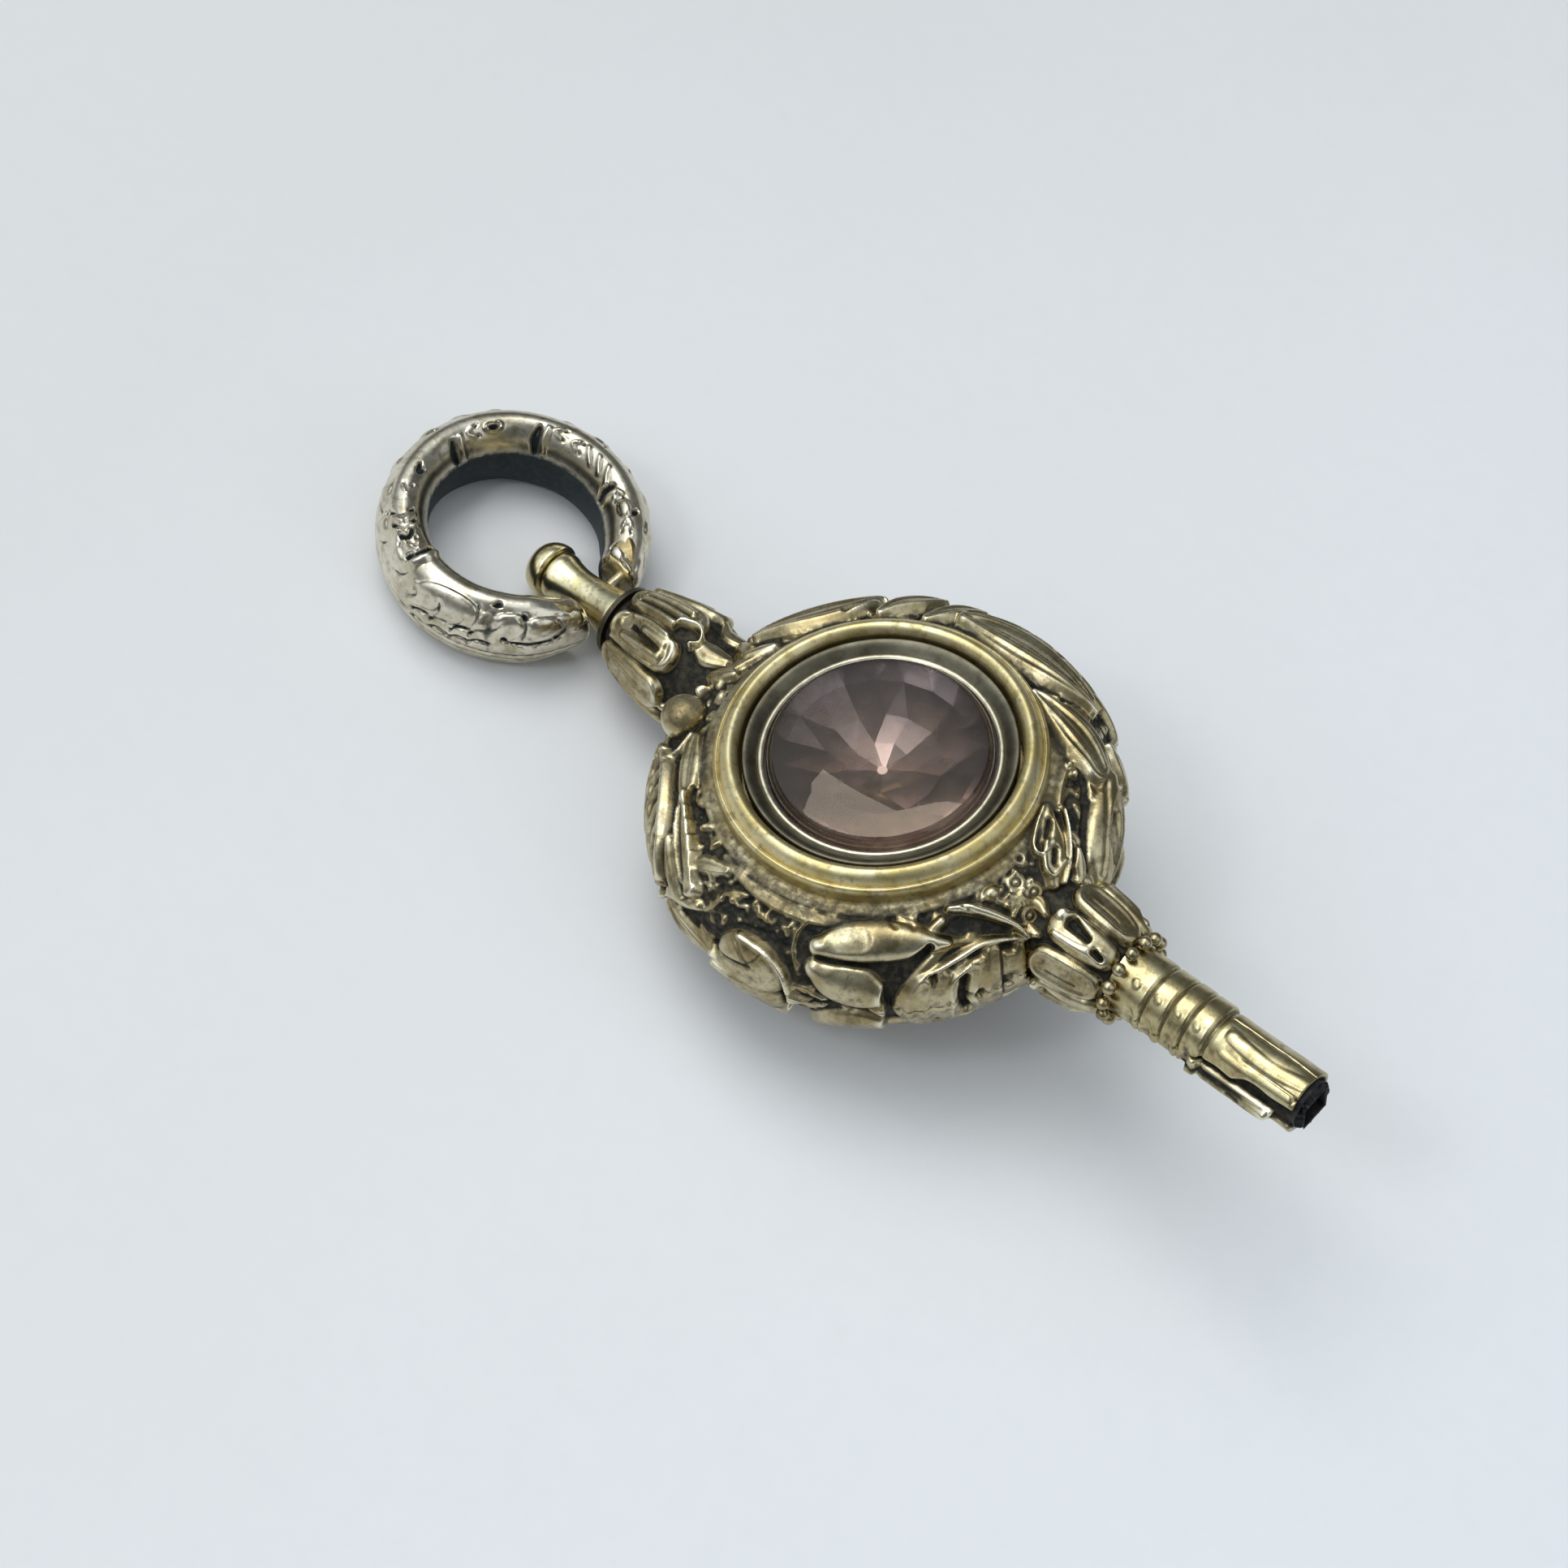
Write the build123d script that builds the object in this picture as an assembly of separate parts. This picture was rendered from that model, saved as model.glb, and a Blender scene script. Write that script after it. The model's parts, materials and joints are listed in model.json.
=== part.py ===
from build123d import *

import os
from math import asin, atan2, cos, degrees, hypot, radians, sin, sqrt

# Gilt fob watch key with a foliate case, a stone on each side and a swivelling, tilting ring.
# Each piece is drawn on the key: X runs along the key to the pipe's tip, Z is square to the front stone,
# and the zero is the middle of the case. The end of the file lays the key down at rest on its ring.

# Clearances
running_gap = 0.05
end_gap = 0.08
seat_gap = 0.03
overrun = 0.6

# Stones
girdle_radius = 5.55
shoulder_height = 3.95
crown_step = 0.35
crown_radius = girdle_radius - crown_step
front_girdle_height = 0.25
front_crown_wall = 0.2
front_crown_rise = 0.6
pavilion_depth = 2.4
culet_radius = 1.0
pavilion_sides = 16
back_dome_foot = 4.85
back_dome_rise = 2.05
foil_thickness = 0.1

# Rings that hold the stones: each laps over its stone and fills the bezel's bore
stone_ring_lap = 0.25
stone_ring_width = 0.85
stone_ring_top = 4.45
stone_ring_fall = 0.3
stone_ring_bore_radius = girdle_radius - stone_ring_lap

# Bezels, the same on both sides
bezel_width = 1.2
bezel_top = 4.95
bezel_bore_radius = girdle_radius + stone_ring_width
bezel_radius = bezel_bore_radius + bezel_width

# Foliate case: the middle line of its round section runs just inside the bezel's rim
bezel_overhang = 0.25
leaf_section_radius = 3.95
ground_section_radius = 3.2
shell_wall = 0.5
case_radius = bezel_radius - bezel_overhang
case_edge_radius = case_radius + leaf_section_radius

# Lobed collars at both ends of the case
lobe_count = 8
upper_collar_reach = 5.7
upper_collar_end = case_edge_radius + upper_collar_reach
upper_collar_length = 4.9
upper_collar_small_radius = 2.0
upper_collar_large_radius = 3.15
collar_cap_thickness = 0.25
collar_cap_radius = 1.85
lower_collar_reach = 2.8
lower_collar_end = case_edge_radius + lower_collar_reach
lower_collar_length = 4.1
lower_collar_small_radius = 2.2
lower_collar_large_radius = 2.85
lobe_hollow_depth = 0.28
upper_neck_share = 0.72
lower_neck_share = 0.84

# Row of beads at the lower collar
bead_radius = 0.34
bead_count = 14

# Pipe: a gilt sleeve over a steel pipe with a square socket
sleeve_radius = 1.5
sleeve_length = 9.95
sleeve_tip = lower_collar_end + sleeve_length
plain_length = 4.75
steel_radius = 1.2
steel_stand_out = 0.25
shank_depth = 2.4
socket_side = 1.4
socket_depth = 6.0
moulding_radius = 1.75
groove_radius = 1.36

# Swivel: a rivet through a waisted spool
post_radius = 0.5
post_depth = 2.2
spool_waist_radius = 1.05
spool_collar_radius = 1.3
spool_head_radius = 1.25
spool_length = 4.5
head_radius = 1.45
head_height = 1.45
head_lip = 0.35

# Ring
ring_radius = 5.5
ring_width = 2.5
ring_height = 4.7
ring_shell_wall = 0.35
ring_seam_drop = 0.5
ring_gap = 3.2
ring_end_radius = 1.7
ring_end_cap = 0.2
pin_radius = 0.35
pin_reach = 0.7
pivot_reach = 2.0
pivot_place = upper_collar_end + pivot_reach

# How the key lies: the case is rolled a little and the ring hangs a little askew on its pins
case_roll = 8.0
ring_yaw = 5.0

# Foliage as (degrees round the case, degrees up the section, length, width, turn, rise).
# Length and width are shares of the section's radius, and rise is a share of the relief's depth.
leaf_shares = [
    (-140, 24, 1.25, 0.42, 4, 1.0),
    (-124, 58, 1.35, 0.40, -10, 0.8),
    (-106, 16, 0.85, 0.36, 12, 1.0),
    (-52, 6, 1.05, 0.30, 0, 0.8),
    (-34, 22, 1.00, 0.42, 28, 1.0),
    (-28, 58, 1.10, 0.34, 16, 0.8),
    (8, 62, 0.62, 0.34, 50, 0.8),
    (44, 34, 0.95, 0.52, -12, 1.0),
    (70, 38, 1.25, 0.62, -8, 1.0),
    (62, 68, 1.30, 0.34, -6, 0.8),
    (100, 52, 0.80, 0.40, 10, 0.8),
    (121, 40, 1.00, 0.62, 6, 1.0),
    (150, 40, 1.10, 0.60, 0, 1.0),
    (-66, 68, 0.90, 0.26, 0, 0.55),
    (-96, 62, 0.75, 0.30, 24, 0.55),
]
# Round and oval buds as (degrees round, degrees up, radius, stretch round the case, rise)
bud_shares = [
    (-80, 22, 0.50, 1.0, 1.0),
    (-58, 30, 0.44, 1.45, 1.0),
    (-57, 56, 0.38, 1.5, 0.8),
    (23, 30, 0.46, 1.0, 1.0),
    (-6, 56, 0.19, 1.0, 0.8),
    (-6, 74, 0.19, 1.0, 0.55),
    (1, 64, 0.19, 1.0, 0.55),
]
# Ball buds that stand free of the leaves as (degrees round, degrees up, radius)
ball_shares = [
    (-157, 46, 0.32),
    (172, 50, 0.20),
    (-87, 4, 0.16),
]
# Turned mouldings on the sleeve as (place along from the collar to the plain end, height of the swelling)
moulding_shares = [
    (0.00, 0.55),
    (0.16, 0.55),
    (0.26, 0.00),
    (0.42, 0.85),
    (0.52, 0.10),
    (0.62, 0.80),
    (0.71, 0.00),
    (0.82, 0.70),
    (0.93, 0.10),
    (1.00, 0.36),
]
# Bezel section from its foot outside, over the rim, the hollow and the roll, to the bore.
# Each is (share of the width in from the outside, share of the height up from the foot).
bezel_outside_shares = [(0.0, 0.0), (0.0, 0.74), (0.08, 0.86), (0.20, 0.84)]
bezel_hollow_shares = [(0.20, 0.84), (0.32, 0.78), (0.42, 0.90)]
bezel_roll_shares = [(0.42, 0.90), (0.66, 1.0), (0.92, 0.88)]
bezel_inside_shares = [(0.92, 0.88), (1.0, 0.80), (1.0, 0.0), (0.0, 0.0)]


def turned_about_z(points):
    """A solid turned about Z from an outline of straight runs."""
    return revolve(Plane.XZ * make_face(Polyline(*points, close=True)), Axis.Z)


def turned_about_x(points):
    """A solid turned about X from an outline of straight runs."""
    return revolve(Plane.XY * make_face(Polyline(*points, close=True)), Axis.X)


def rod(start, end, radius):
    """A round rod on the key's axis."""
    return Pos(start, 0, 0) * Rot(0, 90, 0) * Cylinder(
        radius, end - start, align=(Align.CENTER, Align.CENTER, Align.MIN)
    )


def case_ring(section_radius):
    """The full round section of the case."""
    return Torus(case_radius, section_radius)


def surface_plane(around, up, section_radius):
    """A plane on the case's section, with X round the case and Z straight out of it."""
    a = radians(around)
    b = radians(up)
    out = Vector(cos(b) * cos(a), cos(b) * sin(a), sin(b))
    centre = Vector(case_radius * cos(a), case_radius * sin(a), 0)
    return Plane(centre + out * section_radius, x_dir=Vector(-sin(a), cos(a), 0), z_dir=out)


def leaf_outline(length, width):
    """A pointed leaf between two arcs."""
    upper = ThreePointArc((-length, 0), (0, width), (length, 0))
    lower = ThreePointArc((length, 0), (0, -width), (-length, 0))
    return make_face([upper, lower])


def relief_depth():
    return leaf_section_radius - ground_section_radius


def half_tube(inner, outer):
    """The front half of a tube bent round the case, between two section radii."""
    lines = [
        Line((case_radius + inner, 0), (case_radius + outer, 0)),
        ThreePointArc((case_radius + outer, 0), (case_radius, outer), (case_radius - outer, 0)),
        Line((case_radius - outer, 0), (case_radius - inner, 0)),
        ThreePointArc((case_radius - inner, 0), (case_radius, inner), (case_radius + inner, 0)),
    ]
    return revolve(Plane.XZ * make_face(lines), Axis.Z)


def leaf_root():
    """Section radius from which the raised forms start, in the middle of the shell's wall."""
    return ground_section_radius - shell_wall / 2


def raised(outline_on_plane, rise_share):
    """A raised form cut from a band that follows the case's section."""
    prism = extrude(outline_on_plane, leaf_section_radius / 2)
    return prism & half_tube(leaf_root(), ground_section_radius + rise_share * relief_depth())


def foliage():
    """The leaves and buds of one half of the case."""
    forms = []
    for around, up, length, width, turn, rise in leaf_shares:
        plane = surface_plane(around, up, leaf_root())
        outline = leaf_outline(length * ground_section_radius, width * ground_section_radius)
        forms.append(raised(plane * Rot(0, 0, turn) * outline, rise))
    for around, up, radius, stretch, rise in bud_shares:
        plane = surface_plane(around, up, leaf_root())
        bud = radius * ground_section_radius
        forms.append(raised(plane * Ellipse(bud * stretch, bud), rise))
    for around, up, radius in ball_shares:
        plane = surface_plane(around, up, ground_section_radius)
        ball = radius * ground_section_radius
        room = half_tube(leaf_root(), ground_section_radius + ball + overrun)
        forms.append(plane * Sphere(ball) & room)
    return forms


def wreath_shell():
    """The front half of the stamped foliate case."""
    shell = half_tube(ground_section_radius - shell_wall, ground_section_radius)
    for form in foliage():
        shell = shell + form
    low = (Align.CENTER, Align.CENTER, Align.MIN)
    shell = shell - Cylinder(bezel_bore_radius + seat_gap, 4 * leaf_section_radius)
    bezel_room = Cylinder(bezel_radius + seat_gap, leaf_section_radius, align=low)
    shell = shell - Pos(0, 0, ground_section_radius) * bezel_room
    shell = shell - rod(-upper_collar_end, -case_radius, post_radius + seat_gap)
    shell = shell - rod(case_radius, lower_collar_end, steel_radius + seat_gap)
    room = half_tube(ground_section_radius, leaf_section_radius + overrun)
    shell = shell - (room & rod(-upper_collar_end, -case_radius, upper_collar_neck() + seat_gap))
    return shell - (room & rod(case_radius, lower_collar_end, lower_collar_neck() + seat_gap))


def upper_collar_neck():
    return upper_neck_share * upper_collar_large_radius


def lower_collar_neck():
    return lower_neck_share * lower_collar_large_radius


def core_section_radius():
    return ground_section_radius - shell_wall - seat_gap


def core_top():
    return core_section_radius()


def pavilion_slope():
    """How far the pavilion widens for each millimetre up."""
    return (girdle_radius - culet_radius) / pavilion_depth


def sideways(offset):
    """The radial step that moves the pavilion's slope outwards by an offset."""
    return offset * hypot(1, pavilion_slope())


def girdle_foot():
    return shoulder_height - front_girdle_height


def pavilion_radius_at(height, offset):
    return girdle_radius + (height - girdle_foot()) * pavilion_slope() + sideways(offset)


def case_core():
    """The turned body inside the shells, which carries the stones, the post and the pipe."""
    core = case_ring(core_section_radius()) + Cylinder(bezel_bore_radius, 2 * core_top())
    culet_height = girdle_foot() - pavilion_depth
    floor = culet_height - foil_thickness - 2 * seat_gap
    offset = foil_thickness + 2 * seat_gap
    recess = turned_about_z([
        (0, floor),
        (pavilion_radius_at(floor, offset), floor),
        (pavilion_radius_at(core_top() + overrun, offset), core_top() + overrun),
        (0, core_top() + overrun),
    ])
    core = core - recess
    core = core - rod(-upper_collar_end, post_foot(), post_radius)
    core = core - rod(shank_foot(), lower_collar_end, steel_radius)
    return core


def post_foot():
    return -(case_radius + core_section_radius() - post_depth)


def shank_foot():
    return case_radius + core_section_radius() - shank_depth


def bezel():
    """The turned rim round a stone: a thin edge, a hollow and a rounded roll."""
    foot = ground_section_radius + seat_gap
    width = bezel_radius - bezel_bore_radius
    height = bezel_top - foot

    def placed(shares):
        return [(bezel_radius - in_share * width, foot + up_share * height) for in_share, up_share in shares]

    lines = [
        Polyline(*placed(bezel_outside_shares)),
        ThreePointArc(*placed(bezel_hollow_shares)),
        ThreePointArc(*placed(bezel_roll_shares)),
        Polyline(*placed(bezel_inside_shares)),
    ]
    return revolve(Plane.XZ * make_face(lines), Axis.Z)


def stone_ring():
    """The sloping ring that holds a stone down on its shoulder."""
    outside = bezel_bore_radius - seat_gap
    foot = core_top() + seat_gap
    shoulder = shoulder_height + seat_gap
    inside_top = stone_ring_top - stone_ring_fall
    return turned_about_z([
        (outside, foot),
        (outside, stone_ring_top),
        (stone_ring_bore_radius, inside_top),
        (stone_ring_bore_radius, shoulder),
        (girdle_radius + seat_gap, shoulder),
        (girdle_radius + seat_gap, foot),
    ])


def dome_radius(base_radius, rise):
    """The radius of the sphere whose cap has this base and rise."""
    return (base_radius**2 + rise**2) / (2 * rise)


def cap(base_radius, foot, rise):
    """A shallow dome on a round base."""
    top = foot + rise
    sphere_radius = dome_radius(base_radius, rise)
    middle_angle = asin(base_radius / sphere_radius) / 2
    middle = (sphere_radius * sin(middle_angle), top - sphere_radius * (1 - cos(middle_angle)))
    lines = [
        Line((0, foot), (base_radius, foot)),
        ThreePointArc((base_radius, foot), middle, (0, top)),
        Line((0, top), (0, foot)),
    ]
    return revolve(Plane.XZ * make_face(lines), Axis.Z)


def front_stone():
    """A smooth shallow crown over a faceted pavilion."""
    crown_foot = shoulder_height + front_crown_wall
    stone = turned_about_z([
        (0, girdle_foot()),
        (girdle_radius, girdle_foot()),
        (girdle_radius, shoulder_height),
        (crown_radius, shoulder_height),
        (crown_radius, crown_foot),
        (0, crown_foot),
    ])
    stone = stone + cap(crown_radius, crown_foot, front_crown_rise)
    top_ring = Plane.XY.offset(girdle_foot()) * RegularPolygon(girdle_radius, pavilion_sides)
    low_ring = Plane.XY.offset(girdle_foot() - pavilion_depth) * RegularPolygon(culet_radius, pavilion_sides)
    return stone + loft([low_ring, top_ring], ruled=True)


def front_foil():
    """The thin cup of bright foil behind the front stone."""
    rim = core_top()
    culet_height = girdle_foot() - pavilion_depth
    inner = culet_height - seat_gap
    outer = inner - foil_thickness
    near = seat_gap
    far = seat_gap + foil_thickness
    return turned_about_z([
        (0, outer),
        (pavilion_radius_at(outer, far), outer),
        (pavilion_radius_at(rim, far), rim),
        (pavilion_radius_at(rim, near), rim),
        (pavilion_radius_at(inner, near), inner),
        (0, inner),
    ])


def back_stone_foot():
    return core_top() + 2 * seat_gap + foil_thickness


def back_stone():
    """A domed cabochon with a flat foot, drawn on the front side and turned over afterwards."""
    stone = turned_about_z([
        (0, back_stone_foot()),
        (girdle_radius, back_stone_foot()),
        (girdle_radius, shoulder_height),
        (crown_radius, shoulder_height),
        (crown_radius, back_dome_foot),
        (0, back_dome_foot),
    ])
    return stone + cap(crown_radius, back_dome_foot, back_dome_rise)


def back_foil():
    """The flat disc of foil under the back stone."""
    disc = Cylinder(crown_radius, foil_thickness, align=(Align.CENTER, Align.CENTER, Align.MIN))
    return Pos(0, 0, core_top() + seat_gap) * disc


def lobe(small_at, large_at, small_radius, large_radius):
    """One raised lobe along a collar, with a long hollow down its middle."""
    crowd = sin(radians(180 / lobe_count))
    small_lobe = small_radius * crowd / (1 + crowd)
    large_lobe = large_radius * crowd / (1 + crowd)
    start = Vector(small_at, small_radius - small_lobe, 0)
    end = Vector(large_at, large_radius - large_lobe, 0)
    run = (end - start).length
    lean = degrees(atan2(end.Y - start.Y, end.X - start.X))
    place = Pos(start.X, start.Y, 0) * Rot(0, 0, lean) * Rot(0, 90, 0)
    low = (Align.CENTER, Align.CENTER, Align.MIN)
    body = place * Cone(small_lobe, large_lobe, run, align=low)
    body = body + Pos(*start) * Sphere(small_lobe) + Pos(*end) * Sphere(large_lobe)
    slot_radius = small_lobe / 2
    slot_run = run - large_lobe
    slot_lift = large_lobe + slot_radius - lobe_hollow_depth
    slot_place = Pos(start.X, start.Y, 0) * Rot(0, 0, lean)
    slot_place = slot_place * Pos((run - slot_run) / 2, slot_lift - (large_lobe - small_lobe) / 2, 0)
    slot = slot_place * Rot(0, 90, 0) * Cylinder(slot_radius, slot_run, align=low)
    slot = slot + slot_place * Sphere(slot_radius) + slot_place * Pos(slot_run, 0, 0) * Sphere(slot_radius)
    return body - slot


def lobed_collar(end, length, small_radius, large_radius, neck_radius, bore_radius):
    """A collar of lobes on the key's axis, small at its outer end and seated on the case."""
    crowd = sin(radians(180 / lobe_count))
    small_lobe = small_radius * crowd / (1 + crowd)
    large_lobe = large_radius * crowd / (1 + crowd)
    small_at = end - small_lobe
    large_at = end - length + large_lobe
    core_small = small_radius - small_lobe
    core_large = large_radius - large_lobe
    core = turned_about_x([
        (end, 0),
        (end, core_small + small_lobe / 2),
        (large_at, core_large + large_lobe / 2),
        (end - length, neck_radius),
        (case_radius, neck_radius),
        (case_radius, 0),
    ])
    collar = core
    one = lobe(small_at, large_at, small_radius, large_radius)
    for index in range(lobe_count):
        collar = collar + Rot(index * 360 / lobe_count, 0, 0) * one
    collar = collar - case_ring(ground_section_radius + seat_gap)
    collar = collar - Cylinder(case_radius, 4 * leaf_section_radius)
    return collar - rod(0, end + overrun, bore_radius)


def upper_collar():
    collar = lobed_collar(
        upper_collar_end - collar_cap_thickness,
        upper_collar_length,
        upper_collar_small_radius,
        upper_collar_large_radius,
        upper_collar_neck(),
        post_radius,
    )
    return Rot(0, 0, 180) * collar


def collar_cap():
    """The thin plate that closes the upper collar under the spool."""
    plate = rod(-upper_collar_end, collar_cap_thickness - upper_collar_end, collar_cap_radius)
    return plate - rod(-upper_collar_end - overrun, -case_radius, post_radius)


def lower_collar():
    return lobed_collar(
        lower_collar_end,
        lower_collar_length,
        lower_collar_small_radius,
        lower_collar_large_radius,
        lower_collar_neck(),
        steel_radius + seat_gap,
    )


def bead_circle_radius():
    return moulding_radius + bead_radius - running_gap


def bead_row():
    """The beads round the end of the lower collar."""
    bead = Pos(lower_collar_end + bead_radius + seat_gap, bead_circle_radius(), 0) * Sphere(bead_radius)
    return Compound(children=[Rot(index * 360 / bead_count, 0, 0) * bead for index in range(bead_count)])


def pipe_sleeve():
    """The gilt sleeve: turned mouldings, then a plain tube."""
    start = lower_collar_end + seat_gap
    plain_start = sleeve_tip - plain_length
    run = plain_start - start
    height = moulding_radius - groove_radius
    points = [(start + at * run, groove_radius + swell * height) for at, swell in moulding_shares]
    points += [(plain_start, sleeve_radius), (sleeve_tip, sleeve_radius), (sleeve_tip, 0), (start, 0)]
    sleeve = turned_about_x(points)
    sleeve = sleeve - rod(start - overrun, sleeve_tip + overrun, steel_radius + seat_gap)
    seat = Compound(children=[
        Rot(index * 360 / bead_count, 0, 0)
        * Pos(lower_collar_end + bead_radius + seat_gap, bead_circle_radius(), 0)
        * Sphere(bead_radius + seat_gap)
        for index in range(bead_count)
    ])
    return sleeve - seat


def steel_tip():
    return sleeve_tip + steel_stand_out


def steel_pipe():
    """The steel pipe from its shank in the case to the square socket at its tip."""
    pipe = rod(shank_foot(), steel_tip(), steel_radius)
    socket = Box(socket_depth + overrun, socket_side, socket_side, align=(Align.MIN, Align.CENTER, Align.CENTER))
    return pipe - Pos(steel_tip() - socket_depth, 0, 0) * socket


def spool_start():
    return -upper_collar_end - end_gap


def spool_end():
    return spool_start() - spool_length


def swivel_post():
    """The rivet: a post fixed in the case, with a domed head beyond the spool."""
    head_face = spool_end() - end_gap
    post = rod(head_face - head_lip, post_foot(), post_radius)
    lip = rod(head_face - head_lip, head_face, head_radius)
    dome_foot = upper_collar_end + end_gap + spool_length + end_gap + head_lip
    dome = Rot(0, -90, 0) * cap(head_radius, dome_foot, head_height - head_lip)
    return post + lip + dome


def hub_spool():
    """The waisted spool that turns on the post and carries the ring's pins."""
    waist = -pivot_place
    flat = ring_end_radius / 2
    profile = [
        (spool_start(), 0),
        (spool_start(), spool_collar_radius),
        (spool_start() - end_gap, spool_collar_radius),
    ]
    lines = [
        Polyline(*profile),
        Spline(
            (spool_start() - end_gap, spool_collar_radius),
            (waist + flat, spool_waist_radius),
            (waist - flat, spool_waist_radius),
            (spool_end() + end_gap, spool_head_radius),
        ),
        Polyline((spool_end() + end_gap, spool_head_radius), (spool_end(), spool_head_radius), (spool_end(), 0)),
        Line((spool_end(), 0), (spool_start(), 0)),
    ]
    spool = revolve(Plane.XY * make_face(lines), Axis.X)
    spool = spool - rod(spool_end() - overrun, spool_start() + overrun, post_radius + running_gap)
    hole = Cylinder(pin_radius + running_gap, 4 * spool_waist_radius)
    return spool - Pos(waist, 0, 0) * Rot(0, 0, ring_yaw) * Rot(90, 0, 0) * hole


def ring_centre():
    """How far the ring's centre lies behind the line of its pins."""
    return sqrt(ring_radius**2 - (ring_gap / 2) ** 2)


def ring_solid(inset):
    """The open ring with its pins' line on Y, drawn with an oval section, less an inset all round."""
    section = Plane.XZ * Pos(ring_radius, 0, 0) * Ellipse(ring_width / 2 - inset, ring_height / 2 - inset)
    ring = Pos(-ring_centre(), 0, 0) * revolve(section, Axis.Z)
    return ring & ring_room()


def ring_room():
    """The space the ring may fill: clear of the spool, and rounded about the pins at its ends."""
    reach = 4 * ring_radius
    half_gap = ring_gap / 2
    flare = ring_height / 2 - ring_end_radius
    straight = half_gap + 2 * ring_end_cap
    outline = Polyline(
        (0, half_gap),
        (ring_end_radius, half_gap),
        (ring_end_radius, straight),
        (ring_end_radius + flare, straight + 2 * flare),
        (reach, straight + 2 * flare + reach),
        (0, straight + 2 * flare + reach),
        close=True,
    )
    side = revolve(Plane.XY * make_face(outline), Axis.Y)
    behind = Pos(-ring_end_radius, 0, 0) * Box(reach, reach, reach, align=(Align.MAX, Align.CENTER, Align.CENTER))
    return side + mirror(side, Plane.XZ) + behind


def ring_cap_room():
    half_gap = ring_gap / 2
    thick = Box(2 * ring_height, ring_end_cap, 2 * ring_height, align=(Align.CENTER, Align.MIN, Align.CENTER))
    one = Pos(0, half_gap, 0) * thick
    return one + mirror(one, Plane.XZ)


def pin_rods(radius):
    """Two rods on the line of the pins, one through each end of the ring."""
    length = ring_gap / 2 + ring_end_radius - pin_reach
    one = Pos(0, pin_reach, 0) * Rot(-90, 0, 0) * Cylinder(
        radius, length, align=(Align.CENTER, Align.CENTER, Align.MIN)
    )
    return Compound(children=[one, mirror(one, Plane.XZ)])


def over_seam():
    block = Box(8 * ring_radius, 8 * ring_radius, ring_height, align=(Align.CENTER, Align.CENTER, Align.MIN))
    return Pos(0, 0, -ring_seam_drop) * block


def ring_pieces():
    """The ring's shells, filling, end caps and pins, with the pins' line at the zero."""
    whole = ring_solid(0) - pin_rods(pin_radius)
    caps = whole & ring_cap_room()
    filling = ring_solid(ring_shell_wall) - ring_cap_room() - pin_rods(pin_radius)
    shells = whole - ring_cap_room() - ring_solid(ring_shell_wall)
    upper = shells & over_seam()
    lower = shells - over_seam()
    return {
        "ring_upper_shell": upper,
        "ring_lower_shell": lower,
        "ring_filling": filling,
        "ring_end_caps": caps,
        "ring_pins": pin_rods(pin_radius),
    }


def case_pieces():
    """Every piece that is fast to the case, on the key's own axes."""
    front = wreath_shell()
    return {
        "front_wreath_shell": front,
        "back_wreath_shell": mirror(front, Plane.XY),
        "case_core": case_core(),
        "front_bezel": bezel(),
        "back_bezel": mirror(bezel(), Plane.XY),
        "front_stone_ring": stone_ring(),
        "back_stone_ring": mirror(stone_ring(), Plane.XY),
        "front_stone": front_stone(),
        "back_stone": mirror(back_stone(), Plane.XY),
        "front_foil": front_foil(),
        "back_foil": mirror(back_foil(), Plane.XY),
        "upper_collar": upper_collar(),
        "collar_cap": collar_cap(),
        "lower_collar": lower_collar(),
        "collar_beads": bead_row(),
        "pipe_sleeve": pipe_sleeve(),
        "steel_pipe": steel_pipe(),
        "swivel_post": swivel_post(),
    }


def rest_tilt():
    """The key's slope when the ring lies flat and the back dome touches the table."""
    sphere_radius = dome_radius(crown_radius, back_dome_rise)
    sphere_centre = sphere_radius - back_dome_foot - back_dome_rise
    lift = sphere_centre * cos(radians(case_roll))
    arm = hypot(pivot_place, lift)
    return degrees(asin((sphere_radius - ring_height / 2) / arm) - atan2(lift, pivot_place))


def laid_down(pieces, roll):
    """Pieces of the key moved from its own axes to the table, with the pins' line over the zero."""
    place = Pos(0, 0, ring_height / 2) * Rot(0, -rest_tilt(), 0) * Pos(pivot_place, 0, 0) * Rot(roll, 0, 0)
    return {name: place * piece for name, piece in pieces.items()}


def ring_laid_down():
    place = Pos(0, 0, ring_height / 2) * Rot(0, 0, ring_yaw)
    return {name: place * piece for name, piece in ring_pieces().items()}


def main():
    os.makedirs("parts", exist_ok=True)
    pieces = laid_down(case_pieces(), case_roll)
    pieces.update(laid_down({"hub_spool": hub_spool()}, 0))
    pieces.update(ring_laid_down())
    box = Compound(children=[Compound(piece.solids()) for piece in pieces.values()]).bounding_box()
    shift = Pos(-(box.min.X + box.max.X) / 2, 0, 0)
    for name, piece in pieces.items():
        placed = shift * piece
        solids = placed.solids()
        export_step(solids[0] if len(solids) == 1 else Compound(solids), f"parts/{name}.step")
    print("tilt", round(rest_tilt(), 4), "box", box.size)
    print("pins' line at", round(shift.position.X, 4), 0, ring_height / 2)


main()
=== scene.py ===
import json
import math

import bmesh
import bpy
import numpy as np
from mathutils import Matrix, Vector


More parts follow.
